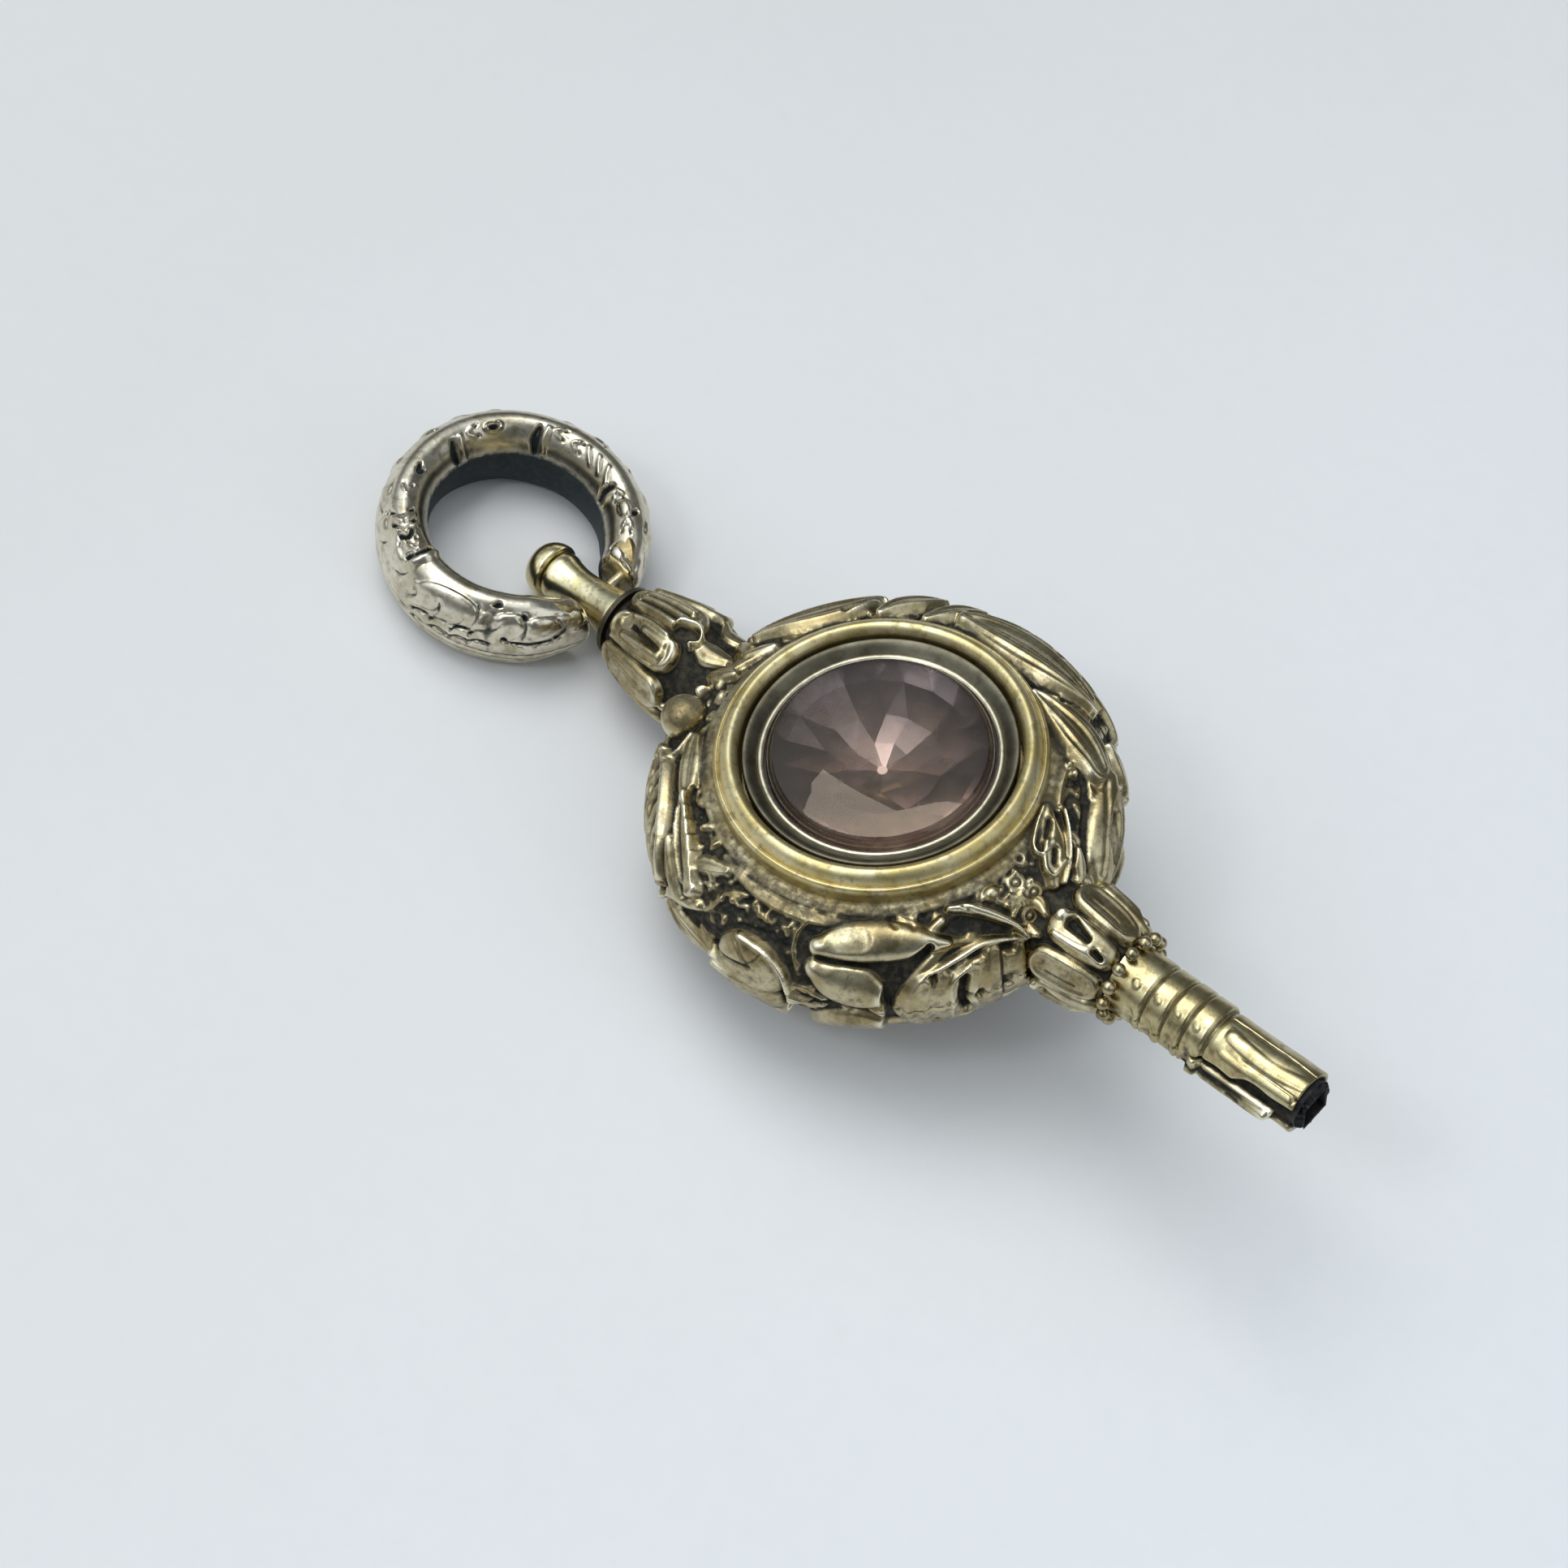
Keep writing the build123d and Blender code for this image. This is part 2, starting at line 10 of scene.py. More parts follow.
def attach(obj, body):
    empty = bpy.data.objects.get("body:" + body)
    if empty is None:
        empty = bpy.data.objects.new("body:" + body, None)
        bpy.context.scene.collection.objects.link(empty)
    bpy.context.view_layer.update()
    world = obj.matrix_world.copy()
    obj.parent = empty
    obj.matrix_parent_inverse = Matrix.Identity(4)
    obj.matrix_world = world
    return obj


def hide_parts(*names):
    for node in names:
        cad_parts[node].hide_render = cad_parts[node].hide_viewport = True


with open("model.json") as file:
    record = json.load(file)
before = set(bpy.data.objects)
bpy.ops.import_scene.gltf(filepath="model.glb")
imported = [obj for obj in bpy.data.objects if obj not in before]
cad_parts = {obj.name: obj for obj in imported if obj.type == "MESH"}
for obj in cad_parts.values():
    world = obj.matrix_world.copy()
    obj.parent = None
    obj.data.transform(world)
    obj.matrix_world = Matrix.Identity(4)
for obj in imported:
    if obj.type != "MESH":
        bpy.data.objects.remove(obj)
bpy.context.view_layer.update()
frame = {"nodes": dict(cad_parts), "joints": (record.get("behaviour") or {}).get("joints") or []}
print("frame loaded with", len(frame["nodes"]), "nodes")

# Places. Pieces are drawn in mm on the key, along X to the pipe's tip, and then laid down in the frame's metres.
mm = 0.001
lying = {"hingeReach": 19.0, "caseRoll": 8.0}
joints = {joint["name"]: joint for joint in frame["joints"]}
keyAxis = Vector(joints["swivel_spin"]["axis"])
hinge = Vector(joints["ring_tilt"]["pos_m"])
hingeAxis = Vector(joints["ring_tilt"]["axis"])


def axes(along, side):
    return Matrix((along, side, along.cross(side))).transposed().to_4x4()


def keyPlace(roll):
    turn = axes(keyAxis, Vector((0, 1, 0))) @ Matrix.Rotation(math.radians(roll), 4, "X")
    reach = Matrix.Translation((lying["hingeReach"], 0, 0))
    return Matrix.Translation(hinge) @ turn @ Matrix.Scale(mm, 4) @ reach


casePlace = keyPlace(lying["caseRoll"])
hubPlace = keyPlace(0)


# Shader helpers
class Wire:
    def __init__(self, shade, socket):
        self.shade = shade
        self.socket = socket

    def maths(self, operation, other, swapped=False, clamp=False):
        pair = {0: other, 1: self} if swapped else {0: self, 1: other}
        return self.shade.add("ShaderNodeMath", {"operation": operation, "use_clamp": clamp}, pair)

    def __add__(self, other):
        return self.maths("ADD", other)

    def __sub__(self, other):
        return self.maths("SUBTRACT", other)

    def __mul__(self, other):
        return self.maths("MULTIPLY", other)

    def __rsub__(self, other):
        return self.maths("SUBTRACT", other, swapped=True)

    __radd__ = __add__
    __rmul__ = __mul__

    def held(self):
        return self.maths("ADD", 0.0, clamp=True)

    def rise(self, low, high):
        sockets = {"Value": self, "From Min": low, "From Max": high}
        return self.shade.add("ShaderNodeMapRange", {"interpolation_type": "SMOOTHSTEP"}, sockets)


class Shade:
    def __init__(self, name):
        self.material = bpy.data.materials.new(name)
        self.material.use_nodes = True
        self.tree = self.material.node_tree
        self.tree.nodes.clear()
        self.spot = self.add("ShaderNodeTexCoord", output="Object")

    def add(self, kind, settings={}, sockets={}, output=0):
        node = self.tree.nodes.new(kind)
        for name, value in settings.items():
            setattr(node, name, value)
        for name, value in sockets.items():
            if isinstance(value, Wire):
                self.tree.links.new(value.socket, node.inputs[name])
            else:
                node.inputs[name].default_value = value
        return Wire(self, node.outputs[output]) if len(node.outputs) else None

    def noise(self, size, detail=2.0, rough=0.5, stretch=None):
        spot = self.spot
        if stretch:
            spot = self.add("ShaderNodeMapping", {}, {"Vector": spot, "Scale": stretch})
        sockets = {"Vector": spot, "Scale": 1 / (size * mm), "Detail": detail, "Roughness": rough}
        return self.add("ShaderNodeTexNoise", {}, sockets)

    def mix(self, factor, under, over):
        under = under if isinstance(under, Wire) else (*under, 1)
        over = over if isinstance(over, Wire) else (*over, 1)
        return self.add("ShaderNodeMix", {"data_type": "RGBA"}, {0: factor, 6: under, 7: over}, 2)

    def painted(self, name):
        return self.add("ShaderNodeAttribute", {"attribute_name": name}, {}, "Fac")

    def bump(self, height, strength, depth):
        sockets = {"Height": height, "Strength": strength, "Distance": depth * mm}
        return self.add("ShaderNodeBump", {}, sockets)

    def surface(self, sockets):
        shader = self.add("ShaderNodeBsdfPrincipled", {}, sockets)
        self.add("ShaderNodeOutputMaterial", {}, {"Surface": shader})
        return self.material


# Finishes
giltFinish = {
    "gold": (0.33, 0.26, 0.13), "pale": (0.53, 0.465, 0.295), "olive": (0.145, 0.118, 0.06),
    "brown": (0.17, 0.115, 0.07), "worn": (0.84, 0.77, 0.57), "grime": (0.013, 0.014, 0.012),
    "cloud": 1.9, "speck": 0.35, "rough": 0.17, "bump": 0.4, "grimeReach": 0.40,
    "rust": (0.085, 0.068, 0.042),
}


def gilt(name, **changes):
    look = {**giltFinish, **changes}
    shade = Shade(name)
    cloud = shade.noise(look["cloud"], 4.0, 0.6)
    patch = shade.noise(look["cloud"] * 0.45, 3.0, 0.6)
    speck = shade.noise(look["speck"], 3.0, 0.65)
    tarnishAndShade = shade.painted("tarnishAndShade")
    wearAndSheen = shade.painted("wearAndSheen")
    # Ambient occlusion darkens crevices as painted shade; it is summed with the real tarnish, stains and specks into
    # one darkening mask, which mixes towards the dark grime colour
    creviceShade = shade.add("ShaderNodeAmbientOcclusion", {"samples": 6, "only_local": True},
                        {"Distance": look["grimeReach"] * mm}, "AO")
    dirtAndShade = (tarnishAndShade + (1 - creviceShade).rise(0.35, 0.85) + (speck - 0.5) * 0.7).rise(0.22, 0.88)
    bright = (wearAndSheen + (speck - 0.5) * 0.6 + (cloud - 0.5) * 0.5).rise(0.25, 0.95)
    base = shade.mix(cloud.rise(0.35, 0.65), look["gold"], look["pale"])
    base = shade.mix(patch.rise(0.50, 0.70) * 0.75, base, look["olive"])
    base = shade.mix(speck.rise(0.50, 0.74) * 0.55, base, look["brown"])
    base = shade.mix(bright * 0.85, base, look["worn"])
    grime = shade.mix(speck.rise(0.42, 0.68) * 0.5 + patch.rise(0.45, 0.7) * 0.3, look["grime"], look["rust"])
    base = shade.mix(dirtAndShade, base, grime)
    rough = look["rough"] + speck * 0.12 + dirtAndShade * 0.35 + (1 - bright) * 0.04
    fine = shade.noise(0.05, 2.0, 0.6)
    scratch = shade.noise(0.03, 2.0, 0.5, (0.15, 1.0, 1.0))
    bump = shade.bump(fine * 0.5 + scratch * 0.5 + speck * 0.6, look["bump"], 0.02)
    return shade.surface({
        "Base Color": base, "Metallic": 1 - dirtAndShade * 0.8, "Roughness": rough.held(), "Normal": bump,
        "Specular IOR Level": 0.15,
    })


def amethyst(name, colour):
    shade = Shade(name)
    cloud = shade.noise(1.6, 3.0, 0.55)
    deep = tuple(part * 0.72 for part in colour)
    sleek = 0.01 + shade.noise(0.4, 2.0).rise(0.6, 0.8) * 0.04
    return shade.surface({
        "Base Color": shade.mix(cloud.rise(0.35, 0.7), colour, deep), "Roughness": sleek, "IOR": 1.544,
        "Transmission Weight": 1.0, "Specular Tint": (1.0, 0.84, 0.70, 1),
    })


def foil(name, colour, glow, roughness):
    # Aged foil under the stone: cloudy, with a painted glow and a painted highlight where the glow attribute asks for
    # them
    shade = Shade(name)
    cloud = shade.noise(1.5, 2.0, 0.5)
    speck = shade.noise(0.5, 2.0, 0.6)
    dull = tuple(part * 0.6 for part in colour)
    base = shade.mix((cloud + (speck - 0.5) * 0.5).rise(0.25, 0.8), colour, dull)
    base = shade.mix((shade.painted("glow") + (cloud - 0.5) * 0.4).held(), base, glow)
    rough = roughness + cloud.rise(0.3, 0.8) * 0.15 + speck * 0.03
    return shade.surface({"Base Color": base, "Metallic": 0.95, "Roughness": rough})


def blackSteel(name):
    shade = Shade(name)
    cloud = shade.noise(0.5, 4.0, 0.65)
    base = shade.mix(cloud.rise(0.4, 0.7), (0.012, 0.012, 0.014), (0.045, 0.040, 0.036))
    bump = shade.bump(cloud + shade.noise(0.12, 3.0, 0.7) * 0.5, 0.8, 0.08)
    return shade.surface({"Base Color": base, "Metallic": 0.55, "Roughness": 0.42 + cloud * 0.3, "Normal": bump})


chasedGilt = gilt("chasedGilt")
plainGilt = gilt("plainGilt", gold=(0.56, 0.45, 0.19), pale=(0.72, 0.63, 0.37), olive=(0.38, 0.31, 0.13),
                 rough=0.31, cloud=1.4, bump=0.25)
dullGilt = gilt("dullGilt", gold=(0.11, 0.10, 0.07), pale=(0.17, 0.155, 0.11), olive=(0.08, 0.072, 0.05),
                rough=0.3)
sleeveGilt = gilt("sleeveGilt", gold=(0.42, 0.34, 0.17), pale=(0.56, 0.49, 0.28), olive=(0.28, 0.235, 0.115),
                  rough=0.16, cloud=1.1, bump=0.3)
# Near-black gilt for the collar cap: painted shade for the deep gap between the collar and the spool
shadowedGapGilt = gilt("shadowedGapGilt", gold=(0.05, 0.045, 0.03), pale=(0.09, 0.08, 0.055), olive=(0.03, 0.03, 0.022),
                 rough=0.35)
spoolGilt = gilt("spoolGilt", gold=(0.66, 0.57, 0.31), pale=(0.80, 0.72, 0.47), olive=(0.42, 0.36, 0.19),
                 rough=0.14, cloud=1.2, bump=0.25)
# Its teal grime colour also colours the painted shade on the ring's inner wall
ringGilt = gilt("ringGilt", gold=(0.57, 0.51, 0.38), pale=(0.78, 0.72, 0.585), olive=(0.34, 0.29, 0.19),
                brown=(0.33, 0.265, 0.18), worn=(0.90, 0.86, 0.74), grime=(0.022, 0.030, 0.034),
                rust=(0.05, 0.055, 0.055), rough=0.13, cloud=1.6, bump=0.25)
innerBrass = gilt("innerBrass", gold=(0.30, 0.23, 0.11), pale=(0.42, 0.33, 0.17))
paleAmethyst = amethyst("paleAmethyst", (0.86, 0.77, 0.77))
darkCabochon = amethyst("darkCabochon", (0.30, 0.14, 0.22))
# The stone foil's pale second colour is the painted glow and highlight
stoneFoil = foil("stoneFoil", (0.20, 0.17, 0.16), (0.86, 0.66, 0.52), 0.14)
pinkFoil = foil("pinkFoil", (0.60, 0.44, 0.43), (0.72, 0.52, 0.50), 0.22)
steel = blackSteel("blackenedSteel")
print("finishes made")


# Building helpers
def smoothLine(points, count):
    points = np.array(points, float)
    ends = np.vstack([2 * points[0] - points[1], points, 2 * points[-1] - points[-2]])
    place = np.linspace(0, len(points) - 1, count)
    first = np.minimum(place.astype(int), len(points) - 2)
    part = (place - first)[:, None]
    a, b, c, d = (ends[first + step] for step in range(4))
    return 0.5 * (2 * b + (c - a) * part + (2 * a - 5 * b + 4 * c - d) * part**2 + (3 * b - a - 3 * c + d) * part**3)


def roundMesh(name, outline, steps, axis, turn=360, start=0):
    # A closed outline of (place on the axis, radius) turned round it: a grid that is bent and welded
    outline = np.array(outline, float)
    bm = bmesh.new()
    bmesh.ops.create_grid(bm, x_segments=len(outline), y_segments=steps, size=1)
    mesh = keepMesh(bm, name)
    grid = (readPoints(mesh) + 1) / 2
    place, radius = outline[np.rint(grid[:, 0] * len(outline)).astype(int) % len(outline)].T
    angle = np.radians(start + turn * grid[:, 1])
    across, up = radius * np.cos(angle), radius * np.sin(angle)
    writePoints(mesh, np.column_stack([place, across, up] if axis == "X" else [across, up, place]))
    bm = bmesh.new()
    bm.from_mesh(mesh)
    bmesh.ops.remove_doubles(bm, verts=bm.verts[:], dist=1e-4)
    bmesh.ops.delete(bm, geom=[edge for edge in bm.edges if edge.is_wire], context="EDGES")
    if turn < 360:
        bmesh.ops.holes_fill(bm, edges=[edge for edge in bm.edges if edge.is_boundary], sides=0)
    bmesh.ops.recalc_face_normals(bm, faces=bm.faces[:])
    bm.to_mesh(mesh)
    bm.free()
    return mesh


def keepMesh(bm, name):
    mesh = bpy.data.meshes.new(name)
    bm.to_mesh(mesh)
    bm.free()
    return mesh


def readPoints(mesh):
    flat = np.zeros(len(mesh.vertices) * 3)
    mesh.vertices.foreach_get("co", flat)
    return flat.reshape(-1, 3)


def writePoints(mesh, points):
    mesh.vertices.foreach_set("co", points.ravel())
    mesh.update()


def paint(mesh, name, values):
    layer = mesh.attributes.new(name, "FLOAT", "POINT")
    layer.data.foreach_set("value", np.ascontiguousarray(values, np.float32))


def eased(share):
    return share * share * (3 - 2 * share)


def paintRelief(mesh, relief, outside, u, v, inside=1, dull=0):
    # The relief's own tarnish and wear outside, with the dull share added as painted shade, and an even tarnish on
    # the faces that don't show
    paint(mesh, "tarnishAndShade", np.where(outside, np.maximum(relief.read(relief.tarnishAndShade, u, v), dull), inside))
    paint(mesh, "wearAndSheen", np.where(outside, relief.read(relief.wearAndSheen, u, v) * (1 - dull), 0))


def piece(name, mesh, place, body, nodes, material, sharp=None):
    mesh.transform(place)
    if place.determinant() < 0:
        mesh.flip_normals()
    mesh.materials.append(material)
    mesh.shade_smooth()
    if sharp is not None:
        mesh.set_sharp_from_angle(angle=math.radians(sharp))
    made = bpy.data.objects.new(name, mesh)
    bpy.context.scene.collection.objects.link(made)
    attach(made, body)
    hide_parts(*nodes)
    print("made", name, len(mesh.polygons), "faces")
    return made


def soften(field, across, along):
    # A wrapped blur round the surface, and a plain one up its section
    for axis, width in ((0, across), (1, along)):
        reach = max(1, int(2.5 * width))
        steps = np.arange(-reach, reach + 1)
        shares = np.exp(-0.5 * (steps / max(width, 0.3)) ** 2)
        shares /= shares.sum()
        edge = ((reach, reach), (0, 0)) if axis == 0 else ((0, 0), (reach, reach))
        padded = np.pad(field, edge, mode="wrap" if axis == 0 else "edge")
        size = field.shape[axis]
        field = sum(share * np.take(padded, np.arange(size) + step, axis) for step, share in enumerate(shares))
    return field


# Relief: strokes of a few forms, where q is the distance from the stroke's middle line as a share of its half width
forms = {
    "dome": lambda q: np.sqrt(np.clip(1 - q * q, 0, 1)),
    "pebble": lambda q: np.sqrt(np.clip(1 - q**4, 0, 1)),
    "ridge": lambda q: np.clip(1 - q * q, 0, 1),
    "flat": lambda q: np.clip((1 - q) * 3, 0, 1),
    "leaf": lambda q: (0.76 + 0.24 * (1 - ((q - 0.45) / 0.55) ** 2)) * np.sqrt(np.clip(1 - q**5, 0, 1)),
    "tray": lambda q: (0.78 + 0.22 * np.clip((q - 0.4) / 0.25, 0, 1)) * np.sqrt(np.clip(1 - q**5, 0, 1)),
}


ageing = {"band": 0.15, "ground": 0.9, "crest": 3.2, "stain": 0.6, "shine": 3.5}


def dot(u, v):
    return [(u - 0.1, v), (u + 0.1, v)]


class Relief:
    # Heights in mm over a surface, with u in degrees round it and v up its section
    def __init__(self, columns, low, high, rows, reach, rise):
        self.u = np.linspace(-180, 180, columns, endpoint=False)
        self.v = np.linspace(low, high, rows)
        self.reach = reach(self.v)
        self.rise = rise
        self.height = np.zeros((columns, rows))
        self.stain = np.zeros((columns, rows))

    def trace(self, path, half):
        half = np.broadcast_to(half, len(path)) if np.ndim(half) == 0 else np.array(half)
        along = np.interp(np.linspace(0, 1, len(path)), np.linspace(0, 1, len(half)), half)
        line = smoothLine(np.column_stack([np.array(path, float), along]), 6 * len(path) + 1)
        middle = line[:, 0].mean()
        widest = line[:, 2].max()
        rows = np.nonzero((self.v > line[:, 1].min() - widest / self.rise)
                          & (self.v < line[:, 1].max() + widest / self.rise))[0]
        if not len(rows):
            return None
        away = (self.u - middle + 180) % 360 - 180
        spare = np.abs(line[:, 0] - middle).max() + widest / self.reach[rows].min()
        columns = np.nonzero(np.abs(away) < spare)[0]
        reach = self.reach[rows][None, :, None]
        px = (away[columns][:, None, None] - (line[:-1, 0] - middle)) * reach
        py = (self.v[rows][None, :, None] - line[:-1, 1]) * self.rise
        sx = np.diff(line[:, 0]) * reach
        sy = np.diff(line[:, 1]) * self.rise
        part = np.clip((px * sx + py * sy) / (sx * sx + sy * sy + 1e-12), 0, 1)
        gap = (px - part * sx) ** 2 + (py - part * sy) ** 2
        best = gap.argmin(axis=2)[..., None]
        near = np.sqrt(np.take_along_axis(gap, best, 2)[..., 0])
        place = (best + np.take_along_axis(part, best, 2))[..., 0] / (len(line) - 1)
        side = np.sign(np.take_along_axis(sx * py - sy * px, best, 2)[..., 0])
        width = np.interp(place, np.linspace(0, 1, len(line)), np.maximum(line[:, 2], 0.03))
        return np.ix_(columns, rows), near / width, place, side, width

    def add(self, kind, height, path, half, lift=0.0, ribs=0, ribDepth=0.06, veins=0, teeth=0):
        found = self.trace(path, half)
        if found is None:
            return
        spot, q, place, side, width = found
        if teeth:
            q = q * (1 + 0.22 * np.mod(place * teeth, 1))
        top = height * forms[kind](q) + lift * np.clip((1 - q) * width / 0.08, 0, 1)
        if ribs:
            top = top + ribDepth * np.cos(2 * np.pi * ribs * place) * (q < 1)
        if veins:
            top = top + ribDepth * np.cos(2 * np.pi * veins * side * q) * np.clip((1 - q) * 3, 0, 1)
        self.height[spot] = np.maximum(self.height[spot], np.where(q < 1, top, 0))

    def cut(self, depth, path, half, kind="ridge", stain=1.0):
        found = self.trace(path, half)
        if found is None:
            return
        spot, q = found[:2]
        form = np.where(q < 1, forms[kind](q), 0)
        self.height[spot] = self.height[spot] - depth * form
        self.stain[spot] = np.maximum(self.stain[spot], stain * form)

    def dull(self, path, half, stain):
        self.cut(0.0, path, half, "flat", stain)

    def press(self, level, path, half):
        # Beats the surface down to a level, as a punched hollow is
        found = self.trace(path, half)
        if found is None:
            return
        spot, q, place, side, width = found
        share = eased(np.clip((1 - q) * width / 0.12, 0, 1))
        self.height[spot] = self.height[spot] * (1 - share) + np.minimum(level, self.height[spot]) * share
        self.stain[spot] = np.maximum(self.stain[spot], 0.6 * share)

    def settle(self, softness, wide, groundHeight):
        # Rubs the relief a little, then finds its hollows for the tarnish and its crests for the wear
        cellU = float(np.mean(self.reach)) * (self.u[1] - self.u[0])
        cellV = self.rise * (self.v[1] - self.v[0])
        self.height = soften(self.height, softness / cellU, softness / cellV)
        broad = soften(self.height, wide / cellU, wide / cellV)
        lift = self.height - broad
        low = np.clip((groundHeight - self.height) / ageing["band"], 0, 1)
        tarnishAndShade = low * ageing["ground"] - lift * ageing["crest"] + ageing["stain"] * self.stain
        self.tarnishAndShade = np.clip(tarnishAndShade, 0, 1)
        self.wearAndSheen = np.clip(lift * ageing["shine"], 0, 1) * (1 - self.tarnishAndShade)

    def read(self, field, u, v):
        columns, rows = field.shape
        fu = (u - self.u[0]) / 360 * columns
        fv = np.clip((v - self.v[0]) / (self.v[-1] - self.v[0]) * (rows - 1), 0, rows - 1.001)
        iu, iv = np.floor(fu).astype(int), fv.astype(int)
        pu, pv = fu - iu, fv - iv
        a, b = field[iu % columns, iv], field[(iu + 1) % columns, iv]
        c, d = field[iu % columns, iv + 1], field[(iu + 1) % columns, iv + 1]
        return (a * (1 - pu) + b * pu) * (1 - pv) + (c * (1 - pu) + d * pu) * pv


# Foliate case
case = {
    "radius": 7.35, "ground": 3.2, "wall": 2.7, "steps": 900, "rows": 82, "top": 92, "seam": 0.06,
    "reliefReach": 3.6, "reliefColumns": 1100, "reliefRows": 110, "softness": 0.048, "wide": 0.32,
    "groundHeight": 0.3, "punchDepth": 0.09,
    "ball": {"turn": -159, "tilt": 47, "reach": 3.55, "size": 1.12},
}


def unevenField(relief, seed, size, depth):
    cellU = float(np.mean(relief.reach)) * (relief.u[1] - relief.u[0])
    cellV = relief.rise * (relief.v[1] - relief.v[0])
    field = soften(np.random.default_rng(seed).normal(size=relief.height.shape), size / cellU, size / cellV)
    return field / field.std() * depth


def caseGround(r):
    r.height += 0.12 + unevenField(r, 3, 0.5, 0.02)
    chance = np.random.default_rng(21)
    for u in range(-180, 180, 7):
        for v in (-2, 22, 46, 68):
            if -104 < u < -66 and 20 < v < 60:
                continue
            turn, size = chance.uniform(-5, 5), chance.uniform(0.32, 0.55)
            r.add("leaf", chance.uniform(0.22, 0.36), [(u, v), (u + turn, v + 9), (u + 2 * turn, v + 16)],
                  [size * 0.5, size, size * 0.4])
    punched = np.zeros_like(r.height)
    spot, q = r.trace([(-106, 46), (-92, 50), (-76, 52), (-64, 48)], [0.9, 1.5, 1.3, 0.5])[:2]
    punched[spot] = np.clip((1 - q) * 3, 0, 1)
    punched = np.maximum(punched, 0.45)
    r.height += unevenField(r, 5, 0.1, case["punchDepth"]) * punched
    # A smooth brown flange under the bezel, wider towards the buds
    for centre, half, height in ((86, 0.5, 0.36), (80, 0.42, 0.33)):
        band = [(u, centre) for u in range(-180, 181, 12)]
        r.add("flat", height, band, half)
        r.dull(band, half, 1.0)
    under = [(-104, 72), (-85, 69), (-66, 69), (-48, 71)]
    r.add("flat", 0.34, under, [0.2, 0.42, 0.4, 0.2])
    r.dull(under, 0.4, 1.0)
    toothed = [(-110, 46), (-106, 57), (-100, 66)]
    r.add("leaf", 0.5, toothed, [0.25, 0.6, 0.35], teeth=5)
    r.dull(toothed, 0.6, 0.6)


def leftLeaves(r):
    r.add("leaf", 0.5, [(-150, 68), (-141, 67), (-132, 65)], [0.4, 0.75, 0.6])
    r.press(0.05, [(-131, 70), (-127, 66), (-124, 70)], 0.18)
    large = [(-152, 34), (-143, 38), (-133, 36), (-124, 26), (-117, 12)]
    r.add("leaf", 0.74, large, [0.3, 0.9, 1.05, 0.85, 0.35], veins=2)
    for u, v in ((-149, 30), (-144, 30), (-139, 29), (-134, 27), (-129, 23), (-124, 17)):
        r.cut(0.34, [(u, v + 15), (u + 2, v + 4), (u + 6, v - 8)], [0.05, 0.13, 0.07])
        r.add("ridge", 0.8, [(u + 2.4, v + 13), (u + 4.2, v + 3), (u + 7, v - 6)], 0.1)
    for u, v, endU in ((-148, 22, -137), (-141, 20, -130), (-134, 20, -123), (-126, 14, -116)):
        r.add("pebble", 0.62, [(u, v), ((u + endU) / 2, v / 2), (endU, -6)], [0.3, 0.45, 0.2])
        r.cut(0.3, [(u + 4, v - 2), ((u + endU) / 2 + 4, v / 2 - 2), (endU + 4, -6)], 0.1)
    r.press(0.0, [(-150, 52), (-140, 55), (-130, 52), (-122, 42), (-117, 26), (-114, 6)], 0.2)
    r.add("leaf", 0.72, [(-131, 63), (-122, 57), (-113, 48), (-105, 37)], [0.15, 0.6, 0.85, 0.6], teeth=6, veins=2)
    r.add("pebble", 0.66, [(-121, 42), (-114, 32), (-108, 22)], [0.2, 0.7, 0.5], veins=1)
    r.cut(0.18, [(-128, 60), (-119, 53), (-111, 43), (-106, 32)], 0.1)
    r.dull(large, 0.9, 0.85)
    r.dull([(-124, 58), (-114, 48), (-106, 34)], 0.6, 0.8)
    r.add("dome", 0.55, [(-112, 12), (-106, 20), (-101, 30)], 0.35)
    r.add("ridge", 0.7, [(-113, 4), (-110, 14), (-106, 22), (-103, 26)], 0.14)
    r.add("pebble", 0.5, [(-112, 0), (-106, 3), (-99, 4), (-94, 2)], 0.22)
    r.add("ridge", 0.3, [(-99, 30), (-97, 42), (-96, 52), (-93, 60), (-90, 62)], 0.16)
    r.add("ridge", 0.3, [(-94, 58), (-91, 52), (-89, 55)], 0.13)


def roseDisc(r):
    r.press(0.1, [(-83, 15), (-81, 14)], 1.95)
    r.add("pebble", 0.74, [(-83, 15), (-81, 14)], 1.72)
    r.dull([(-88, 24), (-80, 24)], 1.15, 0.42)
    r.cut(0.2, [(-93, 12), (-87, 15), (-81, 18)], 0.1)
    r.cut(0.12, [(-82, 20), (-84, 26), (-86, 32)], 0.08)
    r.cut(0.12, [(-82, 20), (-80, 26), (-79, 32)], 0.08)
    r.add("ridge", 0.88, [(-86, 37), (-78, 34), (-73, 24), (-71, 8)], 0.2)
    r.press(0.3, [(-89, 0), (-84, -4)], 0.36)
    r.add("dome", 0.62, [(-87.5, -2), (-86.5, -2)], 0.22)
    r.add("ridge", 0.84, [(-93, 6), (-86, 5), (-79, 1), (-75, -4)], 0.2)


